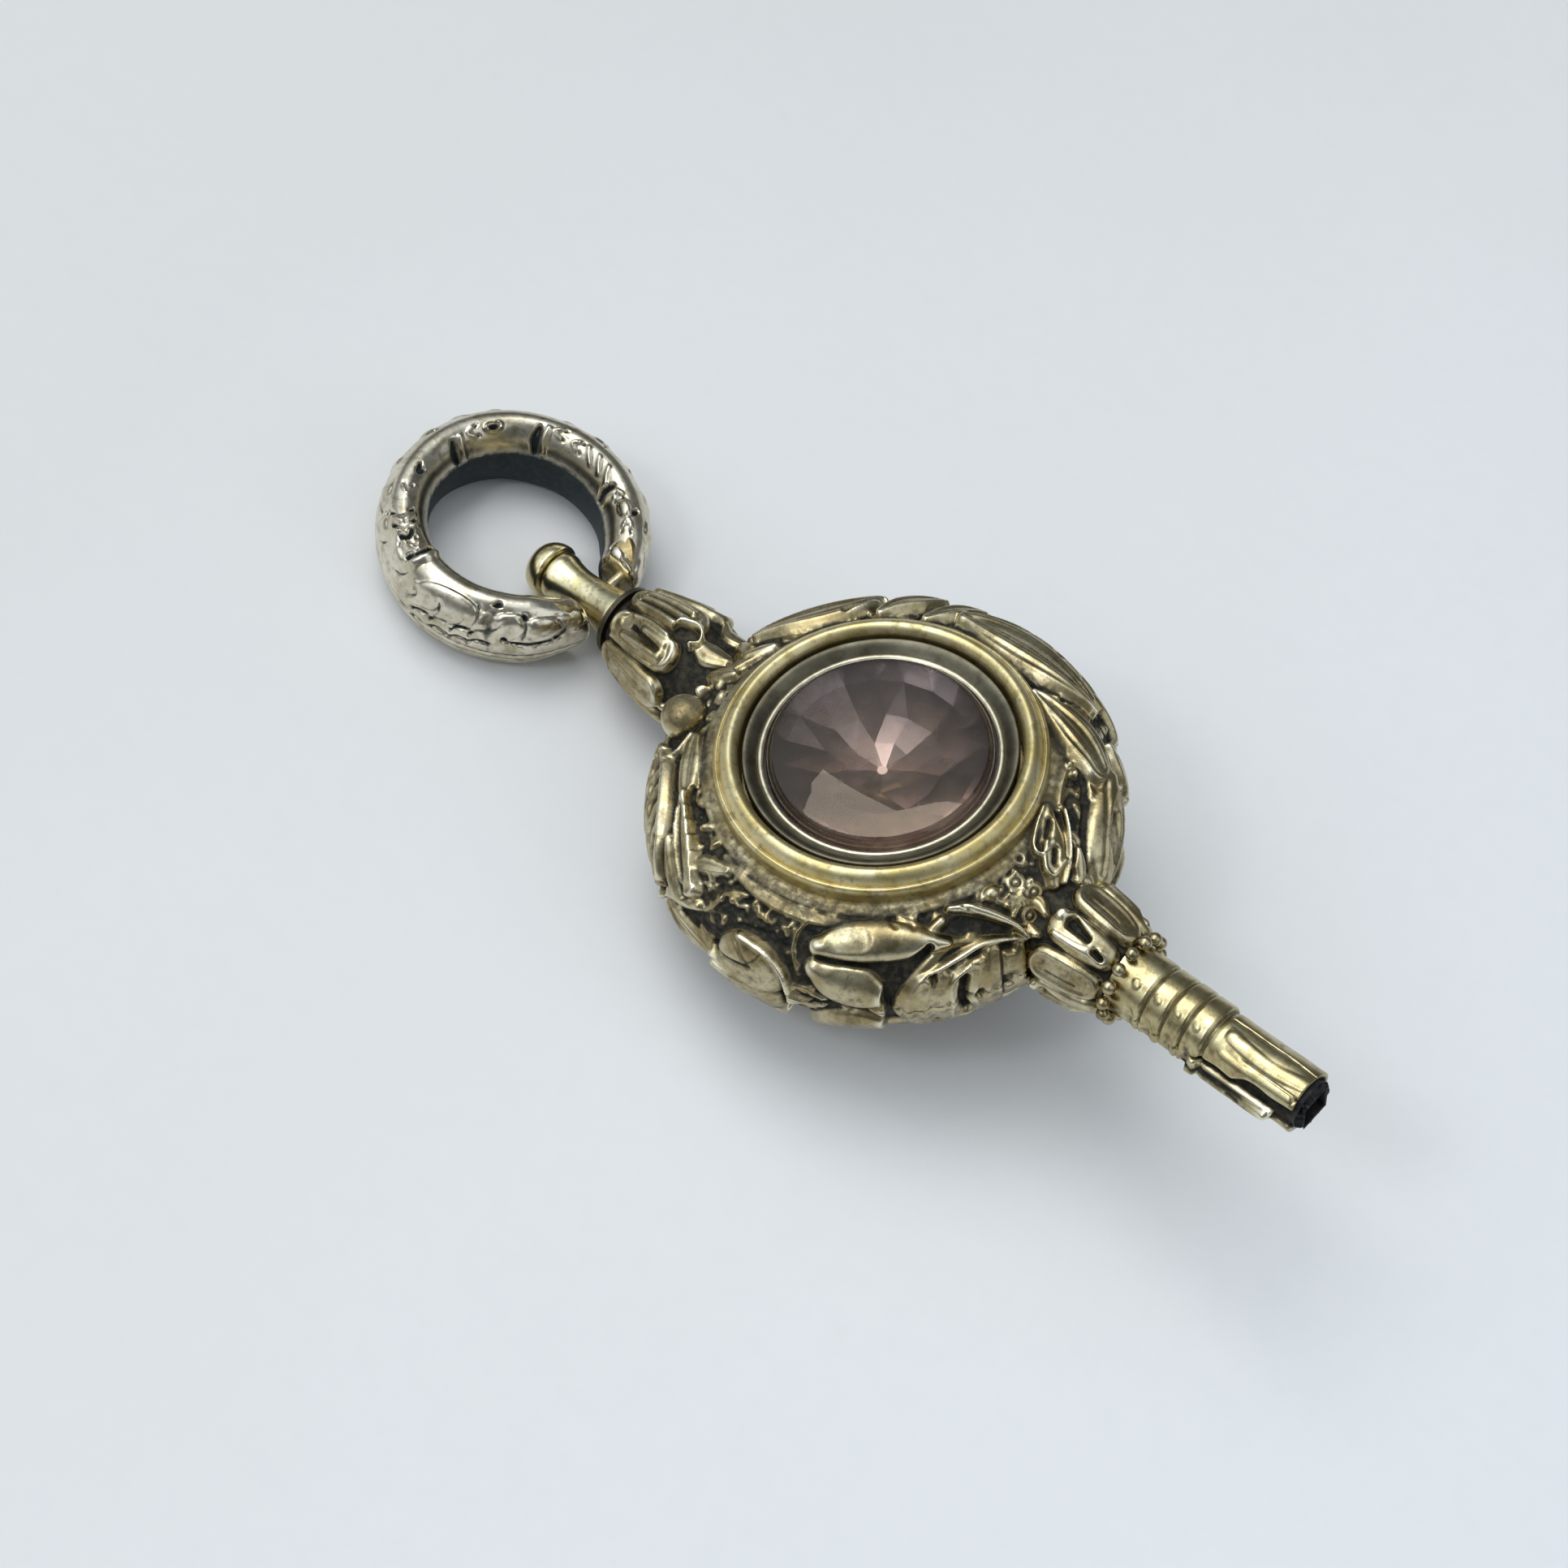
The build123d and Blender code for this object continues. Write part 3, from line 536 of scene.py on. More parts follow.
def bigBud(r):
    r.add("ridge", 0.34, [(-62, 74), (-68, 69), (-71.5, 58), (-72, 44), (-70, 28)], 0.14)
    r.press(0.08, [(-66, 46), (-56, 44), (-46, 40)], [0.9, 1.4, 1.2])
    r.add("dome", 0.66, [(-65, 50), (-57, 56), (-48, 58), (-39, 55), (-31, 50)], [0.55, 0.95, 1.0, 0.75, 0.2],
          lift=0.15)
    r.add("dome", 0.64, [(-65, 34), (-60, 26), (-53, 20), (-48, 16)], [0.6, 1.1, 1.15, 0.6], lift=0.15)
    r.cut(0.45, [(-65, 43), (-56, 41), (-47, 40), (-38, 42)], 0.1)
    r.cut(0.1, [(-60, 57), (-54, 58)], 0.5, "dome", 0.5)
    r.cut(0.06, [(-58, 26), (-53, 24)], 0.75, "dome", 0.45)
    r.cut(0.22, [(-46, 72), (-45, 69), (-44, 66)], 0.06)
    r.cut(0.22, [(-41, 72), (-40, 68), (-39, 64)], 0.06)
    r.press(0.1, [(-67, 4), (-60, -1), (-52, 0)], 0.2)
    r.add("pebble", 0.66, [(-71, 2), (-66, -6), (-60, -10)], [0.25, 0.4, 0.25])
    r.add("pebble", 0.62, [(-57, -8), (-51, -4), (-48, 4)], [0.25, 0.4, 0.25])


def stemAndLeaf(r):
    r.press(0.02, [(-36, 50), (-39, 42), (-44, 32), (-47, 18), (-47, 2)], [0.2, 0.36, 0.42, 0.4, 0.3])
    r.add("flat", 0.5, [(-41, 4), (-33, 14), (-24, 19), (-13, 15)], [0.5, 1.0, 1.1, 0.5])
    r.add("dome", 0.4, [(-12, 26), (-17, 36), (-23, 43), (-30, 48), (-35, 42), (-40, 30), (-44, 16), (-46, 0)],
          [0.15, 0.25, 0.3, 0.3, 0.35, 0.35, 0.3, 0.25])
    r.add("dome", 0.4, [(-28, 48), (-34, 58), (-39, 68), (-43, 74)], [0.2, 0.25, 0.22, 0.2])
    r.add("leaf", 0.66, [(-39, 24), (-41, 10), (-42, -6)], [0.5, 0.75, 0.55])
    r.add("pebble", 0.6, [(-34, 26), (-35, 10), (-36, -4)], 0.42)
    r.add("leaf", 0.64, [(-21, 32), (-22, 14), (-23, -2)], [0.5, 0.7, 0.5])
    r.add("pebble", 0.58, [(-14, 26), (-15, 12), (-15, 0)], [0.3, 0.45, 0.3])
    r.add("ridge", 0.68, [(-39, 30), (-34, 34), (-29, 38), (-23, 41), (-16, 36), (-12, 28)],
          [0.12, 0.22, 0.28, 0.26, 0.2, 0.12])
    r.press(0.0, [(-29, 20), (-30, 8), (-30, -6)], 0.26)
    r.add("ridge", 0.75, [(-27, 30), (-32, 22), (-33, 10), (-32.5, 0)], 0.15)
    r.add("dome", 0.6, [(-25.5, 29), (-24.5, 29)], 0.32)
    r.add("ridge", 0.66, [(-25, 30), (-26, 20), (-27, 8), (-28, -2)], 0.12)
    r.cut(0.3, [(-19, 30), (-20, 14), (-20, 2)], 0.1)
    r.press(0.05, [(-15, 38), (-20, 52), (-27, 60)], [0.15, 0.4, 0.35])
    r.add("dome", 0.7, [(-11, 28), (-13, 42), (-17, 56), (-22, 67), (-28, 72)], [0.12, 0.2, 0.3, 0.32, 0.2])
    r.add("dome", 0.5, [(-31, 66), (-34, 62)], 0.3)
    r.cut(0.2, [(-20, 68), (-18, 63)], 0.06)
    r.cut(0.2, [(-24, 70), (-22, 64)], 0.06)


def florets(r):
    for u, v in ((-6, 66), (-3.5, 52), (-8, 40)):
        r.add("pebble", 0.35, dot(u, v), 0.5)
        r.press(0.2, dot(u, v), 0.32)
        r.add("dome", 0.42, dot(u, v), 0.18)
    r.add("dome", 0.5, [(-14.4, 70), (-13.6, 70)], 0.42)
    r.add("pebble", 0.4, dot(0, 77), 0.4)
    r.press(0.2, dot(0, 77), 0.2)
    for u, v in ((-10, 62), (-7, 57), (-5.5, 59), (-9, 52), (-2, 60), (-11, 68), (-12, 56), (-4, 72)):
        r.add("dome", 0.42, dot(u, v), 0.17)


def horn(r):
    r.add("dome", 0.62, [(21, 82), (16, 76), (11, 66), (6, 56), (2, 46)], [0.25, 0.55, 0.75, 0.7, 0.4])
    r.dull([(19, 78), (12, 66), (6, 52)], 0.5, 0.35)
    for bend in ([(20, 84), (13, 82), (6, 76), (5, 68), (11, 66)], [(13, 72), (7, 68), (3, 60), (3, 52), (9, 52)],
                 [(22, 70), (16, 60), (10, 50), (4, 42)]):
        r.add("ridge", 0.76, bend, 0.16)
    r.cut(0.35, [(16, 76), (11, 72)], 0.16)
    r.cut(0.35, [(9, 62), (6, 57)], 0.16)


def barrelBud(r):
    r.press(0.0, [(36, 60), (28, 55), (20, 48), (12, 36)], 0.24)
    r.add("dome", 0.8, [(39, 38), (29, 32), (19, 22), (12, 12)], [0.5, 1.25, 1.3, 0.6])
    r.cut(0.14, [(37, 44), (30, 41), (21, 33), (14, 22)], 0.09)
    r.press(0.56, [(29, 31), (24, 24), (20, 16)], [0.3, 0.55, 0.3])
    r.add("ridge", 0.86, [(36, 35), (30, 38), (22, 32), (15, 19), (17, 8), (26, 14), (34, 26), (36, 35)], 0.11)
    for u, v, size in ((33, 46, 0.2), (36, 68, 0.24), (39, 72, 0.2), (33, 26, 0.15), (40, 22, 0.25), (29, 8, 0.2)):
        r.add("dome", 0.55, dot(u, v), size)


def rightLeaves(r):
    r.add("leaf", 0.76, [(106, 64), (96, 60), (84, 54), (72, 48), (60, 40)], [0.5, 1.6, 2.0, 1.5, 0.3], veins=4,
          ribDepth=0.045)
    r.cut(0.12, [(104, 64), (92, 58), (78, 50), (62, 41)], 0.07)
    for u, v in ((96, 26), (86, 22), (76, 16), (66, 10)):
        r.add("pebble", 0.7, [(u, v + 16), (u - 5, v), (u - 9, v - 16)], [0.5, 0.6, 0.25])
        r.cut(0.4, [(u - 4, v + 14), (u - 8, v), (u - 11, v - 12)], 0.12)
    for u, v in ((91, 40), (80, 37), (70, 36)):
        r.cut(0.5, [(u, v), (u - 2, v - 4)], 0.2)
    r.press(0.05, [(62, 38), (56, 30), (52, 20)], [0.2, 0.4, 0.3])
    r.press(0.0, [(78, 84), (70, 78), (62, 66), (56, 54), (51, 40)], 0.17)
    r.add("leaf", 0.74, [(68, 84), (58, 75), (49, 63), (40, 50)], [0.2, 0.8, 1.25, 0.9], veins=3, ribDepth=0.05)
    r.add("ridge", 0.74, [(60, 66), (52, 52), (45, 42), (39, 36)], 0.17)
    r.add("pebble", 0.6, [(50, 34), (46, 22), (42, 4)], [0.2, 0.5, 0.3])
    r.add("dome", 0.4, [(24, 74), (30, 76), (36, 74)], 0.2)


def topLeaves(r):
    r.add("leaf", 0.72, [(168, 44), (158, 56), (148, 60), (138, 56), (131, 44)], [0.3, 0.9, 1.1, 0.8, 0.2], veins=2)
    r.add("pebble", 0.66, [(160, 38), (150, 36), (140, 28)], [0.3, 0.8, 0.4])
    r.press(0.0, [(143, 66), (137, 58), (131, 46)], 0.16)
    r.add("leaf", 0.72, [(132, 72), (126, 60), (120, 50), (115, 40)], [0.3, 0.7, 0.8, 0.3], veins=2)
    r.press(0.0, [(119, 72), (117, 56), (114, 44)], 0.13)
    r.add("leaf", 0.7, [(117, 76), (112, 64), (108, 52), (104, 40)], [0.3, 0.6, 0.65, 0.3], veins=2)
    r.add("leaf", 0.5, [(182, 62), (176, 68), (170, 74)], 0.35)
    r.add("dome", 0.4, [(-172.5, 60), (-171.5, 60)], 0.3)
    r.add("dome", 0.4, [(-168.5, 70), (-167.5, 70)], 0.3)


def neckLeaves(r):
    # Small leaves that run up to the collars at both necks
    leaves = ((176, 60, 172, 36, 0.6), (184, 70, 186, 44, 0.5), (192, 56, 190, 30, 0.45), (168, 74, 176, 64, 0.45),
              (-2, 26, 2, 6, 0.5), (8, 34, 6, 12, 0.45), (-9, 22, -7, 2, 0.45), (14, 48, 8, 30, 0.4))
    for u, v, endU, endV, size in leaves:
        middle = ((u + endU) / 2, (v + endV) / 2)
        r.add("leaf", 0.62, [(u, v), middle, (endU, endV)], [size * 0.5, size, size * 0.6], veins=1)


def seamLobes(r):
    # The far side's edge, where the photograph doesn't reach, keeps slanted lobes of the same kind
    for u in range(102, 176, 8):
        r.add("pebble", 0.6, [(u + 2, 30), (u - 2, 16), (u - 6, -6)], [0.35, 0.5, 0.25])
    for u in (2, 10, 18, 182, 190):
        r.add("pebble", 0.45, [(u, 30), (u, 0)], 0.4)


def ballBud(r):
    r.press(0.0, [(-170, 30), (-164, 44), (-168, 56)], 0.5)
    r.press(0.05, [(-158, 48), (-156, 48)], 1.25)
    r.add("ridge", 0.62, [(-152, 64), (-147, 56), (-146, 46), (-149, 36)], 0.16)
    r.add("ridge", 0.5, [(-160, 24), (-153, 26), (-148, 30)], 0.14)


def caseRelief():
    spread = math.radians(1)
    reach = case["reliefReach"]
    r = Relief(case["reliefColumns"], 0, case["top"], case["reliefRows"],
               lambda v: spread * (case["radius"] + reach * np.cos(np.radians(v))), spread * reach)
    for motif in (caseGround, leftLeaves, roseDisc, bigBud, stemAndLeaf, florets, horn, barrelBud, rightLeaves,
                  topLeaves, neckLeaves, seamLobes, ballBud):
        motif(r)
    r.settle(case["softness"], case["wide"], case["groundHeight"])
    return r


def wreathMesh(relief, name, side):
    outer = np.radians(np.linspace(0, case["top"], case["rows"] + 1))
    inner = np.radians(np.linspace(case["top"], 0, 6))
    section = [(case["ground"], angle) for angle in outer] + [(case["wall"], angle) for angle in inner]
    outline = [(side * reach * math.sin(angle), case["radius"] + reach * math.cos(angle)) for reach, angle in section]
    mesh = roundMesh(name, outline, case["steps"], "Z")
    points = readPoints(mesh)
    u = np.degrees(np.arctan2(points[:, 1], points[:, 0]))
    ring = np.hypot(points[:, 0], points[:, 1])
    out = ring - case["radius"]
    v = np.degrees(np.arctan2(np.abs(points[:, 2]), out))
    size = np.hypot(out, points[:, 2])
    outside = size > (case["ground"] + case["wall"]) / 2
    lift = relief.read(relief.height, u, v) - case["seam"] * np.clip(1 - v / 2.5, 0, 1)
    grow = np.where(outside, (size + lift) / size, 1)
    wide = case["radius"] + out * grow
    writePoints(mesh, np.column_stack([points[:, 0] * wide / ring, points[:, 1] * wide / ring, points[:, 2] * grow]))
    paintRelief(mesh, relief, outside, u, v)
    return withBall(mesh, side)


def withBall(mesh, side):
    # A loose-looking round bud stands on the left shoulder. Its top is darkened as painted shade and its rim
    # brightened as a painted highlight, through the tarnish and wear attributes
    look = case["ball"]
    turn, tilt = math.radians(look["turn"]), math.radians(look["tilt"])
    far = case["radius"] + look["reach"] * math.cos(tilt)
    spot = (far * math.cos(turn), far * math.sin(turn), side * look["reach"] * math.sin(tilt))
    bm = bmesh.new()
    bm.from_mesh(mesh)
    bmesh.ops.create_icosphere(bm, subdivisions=5, radius=look["size"], matrix=Matrix.Translation(spot))
    bm.to_mesh(mesh)
    bm.free()
    way = (readPoints(mesh) - spot) / look["size"]
    ball = np.linalg.norm(way, axis=1) < 1.01
    topShade = np.clip(side * way[:, 2] * 1.6 - 0.2, 0, 1)
    for name, values in (("tarnishAndShade", 0.46 * topShade), ("wearAndSheen", 0.7 * (1 - topShade))):
        painted = np.zeros(len(way), np.float32)
        mesh.attributes[name].data.foreach_get("value", painted)
        mesh.attributes[name].data.foreach_set("value", np.where(ball, values, painted).astype(np.float32))
    return mesh


relief = caseRelief()
print("case relief drawn")
for side, word in ((1, "front"), (-1, "back")):
    piece(word + "Wreath", wreathMesh(relief, word + "Wreath", side), casePlace, "case", [word + "_wreath_shell"],
          chasedGilt)


# Bezels and the rings that hold the stones, turned on a lathe
bezel = {"radius": 7.6, "bore": 6.4, "foot": 3.2, "top": 4.95}
stoneRing = {"outer": 6.26, "bore": 5.3, "top": 4.5, "fall": 0.36, "foot": 3.95, "lip": 0.24}
lathe = {"steps": 256, "sharp": 35}


def lathed(name, outline, side, node, material, brightLip=None):
    # Outline as (height, radius) with its rounded runs already smoothed
    mesh = roundMesh(name, [(height * side, radius) for height, radius in outline], lathe["steps"], "Z")
    if brightLip:
        lip = (np.hypot(*readPoints(mesh)[:, :2].T) < brightLip).astype(float)
        paint(mesh, "wearAndSheen", lip * 0.75)
        paint(mesh, "tarnishAndShade", 0.25 * (1 - lip))
    return piece(name, mesh, casePlace, "case", [node], material, lathe["sharp"])


def bezelOutline():
    # A low outer rim, a fine groove, and a fat roll inside it
    wide = bezel["radius"] - bezel["bore"]
    tall = bezel["top"] - bezel["foot"]
    rim = [(0, 0.28), (0.0, 0.46), (0.03, 0.58), (0.09, 0.65), (0.16, 0.67), (0.21, 0.65), (0.24, 0.67), (0.30, 0.79),
           (0.40, 0.90), (0.52, 0.97), (0.66, 1.0), (0.80, 0.97), (0.91, 0.89), (0.98, 0.78), (1.0, 0.66)]
    line = smoothLine([(bezel["foot"] + up * tall, bezel["radius"] - into * wide) for into, up in rim], 80)
    return [(bezel["foot"], bezel["radius"]), *map(tuple, line), (bezel["foot"], bezel["bore"])]


def stoneRingOutline():
    top, bore, outer = (stoneRing[name] for name in ("top", "bore", "outer"))
    low = top - stoneRing["fall"]
    line = smoothLine([(top - 0.1, outer), (top, outer - 0.08), (top - 0.06, outer - 0.3), (low + 0.04, bore + 0.34),
                       (low - 0.01, bore + 0.27), (low + 0.05, bore + 0.2), (low + 0.06, bore + 0.1),
                       (low, bore)], 60)
    return [(stoneRing["foot"], outer), *map(tuple, line), (stoneRing["foot"], bore)]


for side, word in ((1, "front"), (-1, "back")):
    lathed(word + "Bezel", bezelOutline(), side, word + "_bezel", plainGilt)
    lathed(word + "StoneRing", stoneRingOutline(), side, word + "_stone_ring", dullGilt,
           stoneRing["bore"] + stoneRing["lip"])


# Stones
stone = {
    "girdle": 5.5, "girdleTop": 3.93, "girdleHeight": 0.22, "crown": 5.2, "crownTop": 4.7, "table": 4.75,
    "tableFall": 0.03, "steps": 72, "depth": 2.4, "culet": 0.25, "culetSides": 8, "unevenness": 0.1,
    "tiers": ((4.3, 3.22, 20), (2.7, 2.42, 14), (1.4, 1.85, 9)), "glowReach": 4.7, "glowMiddle": 0.72,
    "near": (0.77, -0.64), "highlightFrom": 1.8, "highlightReach": 1.4, "backTop": 6.9, "backFoot": 4.85,
}


def circleAt(bm, radius, height, count, turn):
    place = Matrix.Translation((0, 0, height)) @ Matrix.Rotation(math.tau * turn / count, 4, "Z")
    return bmesh.ops.create_circle(bm, segments=count, radius=radius, matrix=place)["verts"]


def loopEdges(verts):
    chosen = set(verts)
    return [edge for edge in {edge for vert in verts for edge in vert.link_edges}
            if edge.verts[0] in chosen and edge.verts[1] in chosen]


def faceted(name):
    # A polished table with a rounded shoulder above, and tiers of foiled facets below that meet in a small culet
    bm = bmesh.new()
    fall = stone["crownTop"] - stone["girdleTop"]
    rings = [(0.3, stone["crownTop"]), (2.0, stone["crownTop"] - 0.003), (3.6, stone["crownTop"] - 0.012),
             (stone["table"], stone["crownTop"] - stone["tableFall"])]
    for share in (15, 30, 45, 60, 75, 90):
        bend = math.radians(share)
        rings.append((stone["table"] + (stone["crown"] - stone["table"]) * math.sin(bend),
                      stone["girdleTop"] + (fall - stone["tableFall"]) * math.cos(bend)))
    girdle = stone["girdleTop"] - stone["girdleHeight"]
    culet = girdle - stone["depth"]
    rings += [(stone["girdle"], stone["girdleTop"] - 0.01), (stone["girdle"], girdle)]
    levels = [circleAt(bm, radius, height, stone["steps"], 0) for radius, height in rings]
    bmesh.ops.contextual_create(bm, geom=levels[0])
    chance = np.random.default_rng(17)
    for radius, height, sides in stone["tiers"]:
        levels.append(circleAt(bm, radius, height, sides, 0.5))
        for vert in levels[-1]:
            vert.co += Vector(chance.uniform(-stone["unevenness"], stone["unevenness"], 3))
    levels.append(circleAt(bm, stone["culet"], culet + 0.1, stone["culetSides"], 0))
    for upper, lower in zip(levels, levels[1:]):
        bmesh.ops.bridge_loops(bm, edges=loopEdges(upper) + loopEdges(lower))
    bmesh.ops.contextual_create(bm, geom=levels[-1])
    bmesh.ops.recalc_face_normals(bm, faces=bm.faces[:])
    for face in bm.faces:
        face.material_index = int(face.calc_center_median().z < girdle)
    mesh = keepMesh(bm, name)
    points = readPoints(mesh)
    # A painted glow in the middle, and a painted highlight on the facets of the side that faces the camera
    middle = stone["glowMiddle"] - np.hypot(points[:, 0], points[:, 1]) / stone["glowReach"]
    near = (points[:, :2] @ stone["near"] - stone["highlightFrom"]) / stone["highlightReach"]
    paint(mesh, "glow", np.clip(np.maximum(middle, near), 0, 1))
    return mesh


frontStone = piece("frontStone", faceted("frontStone"), casePlace, "case", ["front_stone"],
                   paleAmethyst, 20)
frontStone.data.materials.append(stoneFoil)
for face in frontStone.data.polygons:
    face.use_smooth = face.material_index == 0


def cabochonOutline():
    rise = stone["backTop"] - stone["backFoot"]
    curve = (stone["crown"]**2 + rise**2) / (2 * rise)
    bends = np.radians(np.linspace(0, 90, 41))
    radii = stone["crown"] * np.sin(bends)
    line = [(math.sqrt(curve**2 - radius**2) - curve + stone["backTop"], radius) for radius in radii]
    return [*line, (stone["girdleTop"], stone["crown"]), (stone["girdleTop"], stone["girdle"]),
            (stone["girdleTop"] - 0.6, stone["girdle"]), (stone["girdleTop"] - 0.6, 0)]


lathed("backStone", cabochonOutline(), -1, "back_stone", darkCabochon)


# Lobed collars at both ends of the case
collar = {
    "lobes": 8, "columns": 720, "softness": 0.05, "wide": 0.3, "groundHeight": 0.2, "steps": 420, "spacing": 0.05,
}
upperCollar = {
    "profile": [(-17.0, 1.5), (-16.62, 1.5), (-16.5, 1.66), (-15.6, 1.92), (-14.4, 2.22), (-13.2, 2.42),
                (-12.0, 2.46), (-11.5, 2.3), (-11.0, 2.27), (-9.6, 2.27)],
    "offset": 30, "lobe": [(-15.75, 0.68), (-15.0, 0.82), (-14.0, 0.94), (-12.75, 0.92)], "rise": 0.62,
    "rows": 240, "bore": 0.6,
}
lowerCollar = {
    "profile": [(9.0, 2.38), (10.3, 2.38), (10.6, 2.36), (11.6, 2.28), (12.8, 2.1), (13.8, 1.8), (14.1, 1.7)],
    "offset": 22, "lobe": [(11.45, 0.84), (12.3, 0.86), (13.0, 0.8), (13.5, 0.68)], "rise": 0.54,
    "rows": 200, "bore": 1.25,
}


def turnedMesh(name, profile, bore, steps, spacing, relief=None):
    # A profile of (place along the key, radius), turned round the key's axis and raised by a relief
    profile = np.array(profile, float)
    places = np.arange(profile[0, 0], profile[-1, 0] + spacing / 2, spacing)
    radii = np.interp(places, *smoothLine(profile, 12 * len(profile)).T)
    outline = [*zip(places, radii), (places[-1], bore), (places[0], bore)]
    mesh = roundMesh(name, outline, steps, "X")
    if relief is None:
        return mesh
    points = readPoints(mesh)
    size = np.hypot(points[:, 1], points[:, 2])
    turn = np.degrees(np.arctan2(points[:, 2], points[:, 1]))
    outside = size > (bore + radii.min()) / 2
    lift = np.where(outside, relief.read(relief.height, turn, points[:, 0]), 0)
    points[:, 1:] *= ((size + lift) / size)[:, None]
    writePoints(mesh, points)
    paintRelief(mesh, relief, outside, turn, points[:, 0])
    return mesh


def turnedRelief(profile, columns, rows):
    profile = np.array(profile, float)
    spread = math.radians(1)
    return Relief(columns, profile[0, 0], profile[-1, 0], rows, lambda v: spread * np.interp(v, *profile.T), 1.0)


def lobeTurn(look, count):
    return look["offset"] + 360 // collar["lobes"] * count


def collarPiece(name, look, r, node):
    r.settle(collar["softness"], collar["wide"], collar["groundHeight"])
    mesh = turnedMesh(name, look["profile"], look["bore"], collar["steps"], collar["spacing"], r)
    piece(name, mesh, casePlace, "case", [node], chasedGilt)


def upperCollarRelief():
    look = upperCollar
    r = turnedRelief(look["profile"], collar["columns"], look["rows"])
    places, halves = zip(*look["lobe"])
    for count in range(collar["lobes"]):
        turn = lobeTurn(look, count)
        r.add("tray", look["rise"], [(turn, place) for place in places], halves)
        r.dull([(turn, -15.4), (turn, -13.2)], 0.55, 0.3)
        if not 85 < turn < 150:
            small = [(turn + 10, -11.9), (turn + 16, -11.0), (turn + 12, -9.9)]
            r.add("leaf", 0.4, small, [0.2, 0.62, 0.4], veins=1)
            r.dull(small, 0.6, 0.5)
    # Marks of the lobes that the photograph shows
    r.press(0.4, [(112, -15.5), (113, -14.8)], 0.3)
    r.add("dome", 0.74, [(128, -15.2), (127, -13.8), (124, -12.7)], [0.22, 0.4, 0.5])
    r.add("dome", 0.66, [(111, -14.2), (112, -12.8)], [0.3, 0.42])
    r.add("ridge", 0.74, [(104, -15.2), (101, -14.2), (103, -12.9)], 0.16)
    r.cut(0.34, [(115, -14.9), (118, -13.9), (120, -12.9)], 0.1)
    r.add("ridge", 0.7, [(138, -15.9), (138, -14.4), (136, -12.8)], 0.15)
    for turn in (88, 77, 66):
        r.add("dome", 0.68, [(turn, -15.7), (turn, -14.4), (turn + 2, -12.9)], 0.24)
    for turn in (83, 72):
        r.cut(0.26, [(turn, -15.7), (turn, -14.4), (turn + 1, -13.0)], 0.08)
    r.press(0.0, [(92, -12.6), (90, -12.0)], 0.5)
    r.add("ridge", 0.72, [(84, -13.1), (78, -12.4), (80, -11.8), (90, -11.5), (98, -11.8)], 0.17)
    r.add("ridge", 0.62, [(160, -15.8), (161, -14.4), (164, -13.2)], 0.13)
    r.add("ridge", 0.62, [(170, -15.6), (170, -14.4), (168, -13.4)], 0.13)
    r.add("ridge", 0.35, [(149, -15.6), (150, -14.2), (152, -12.8)], 0.12)
    for count in (0, 4, 5, 6, 7):
        turn = lobeTurn(look, count)
        r.add("ridge", 0.6, [(turn - 4, -15.6), (turn - 4, -14.2), (turn - 2, -13.2)], 0.13)
        r.cut(0.22, [(turn + 5, -15.2), (turn + 5, -13.4)], 0.1)
    return r


def lowerCollarRelief():
    look = lowerCollar
    r = turnedRelief(look["profile"], collar["columns"], look["rows"])
    places, halves = zip(*look["lobe"])
    for count in range(collar["lobes"]):
        turn = lobeTurn(look, count)
        if count % 2:
            # A smooth panel with a raised rim
            r.add("tray", look["rise"], [(turn, place) for place in places], [half * 1.04 for half in halves])
            r.cut(0.05, [(turn, 11.5), (turn, 13.2)], 0.52, "flat", 0.45)
            r.cut(0.06, [(turn + 5, 11.6), (turn + 5, 13.1)], 0.08)
            continue
        # A dark slot with a pearl at its inner end and a bright flame beside it
        r.add("pebble", look["rise"], [(turn, place) for place in places], [half * 0.96 for half in halves])
        r.press(0.05, [(turn - 7, 11.7), (turn - 3, 12.7)], [0.3, 0.16])
        r.add("pebble", 0.66, [(turn - 8.2, 11.1), (turn - 7.8, 11.1)], 0.33)
        r.add("dome", 0.68, [(turn + 10, 11.3), (turn + 9, 12.6), (turn + 4, 13.5)], [0.18, 0.3, 0.4])
        r.press(0.1, [(turn + 4, 13.2), (turn + 6, 13.6)], 0.15)
        r.add("leaf", 0.36, [(turn + 22, 10.6), (turn + 25, 9.9), (turn + 22, 9.2)], [0.2, 0.45, 0.3], veins=1)
        r.add("leaf", 0.34, [(turn, 10.4), (turn - 4, 9.8), (turn, 9.2)], [0.2, 0.4, 0.3], veins=1)
    return r


collarPiece("upperCollar", upperCollar, upperCollarRelief(), "upper_collar")
collarPiece("lowerCollar", lowerCollar, lowerCollarRelief(), "lower_collar")


# Row of beads
beads = {"count": 14, "radius": 0.34, "circle": 2.04, "place": 14.47}


def beadMesh():
    bm = bmesh.new()
    chance = np.random.default_rng(11)
    for count in range(beads["count"]):
        turn = math.tau * (count + 0.5) / beads["count"]
        centre = Vector((beads["place"], beads["circle"] * math.cos(turn), beads["circle"] * math.sin(turn)))
        size = beads["radius"] * chance.uniform(0.9, 1.0)
        bmesh.ops.create_icosphere(bm, subdivisions=4, radius=size, matrix=Matrix.Translation(centre))
    return keepMesh(bm, "collarBeads")


piece("collarBeads", beadMesh(), casePlace, "case", ["collar_beads"], chasedGilt)


# Pipe: a gilt sleeve with mouldings, torn at its lower edge, over a blackened steel pipe
pipe = {
    "start": 14.13, "tip": 24.05, "radius": 1.48, "groove": 1.40, "band": 1.63, "bore": 1.2,
    "grooves": (16.1, 17.2, 18.2, 19.3), "columns": 480, "rows": 260, "steps": 240, "spacing": 0.05,
    "steelRadius": 1.19, "steelStart": 15.0, "steelTip": 24.5, "steelSteps": 128, "socket": 1.4, "socketDepth": 6.0,
}


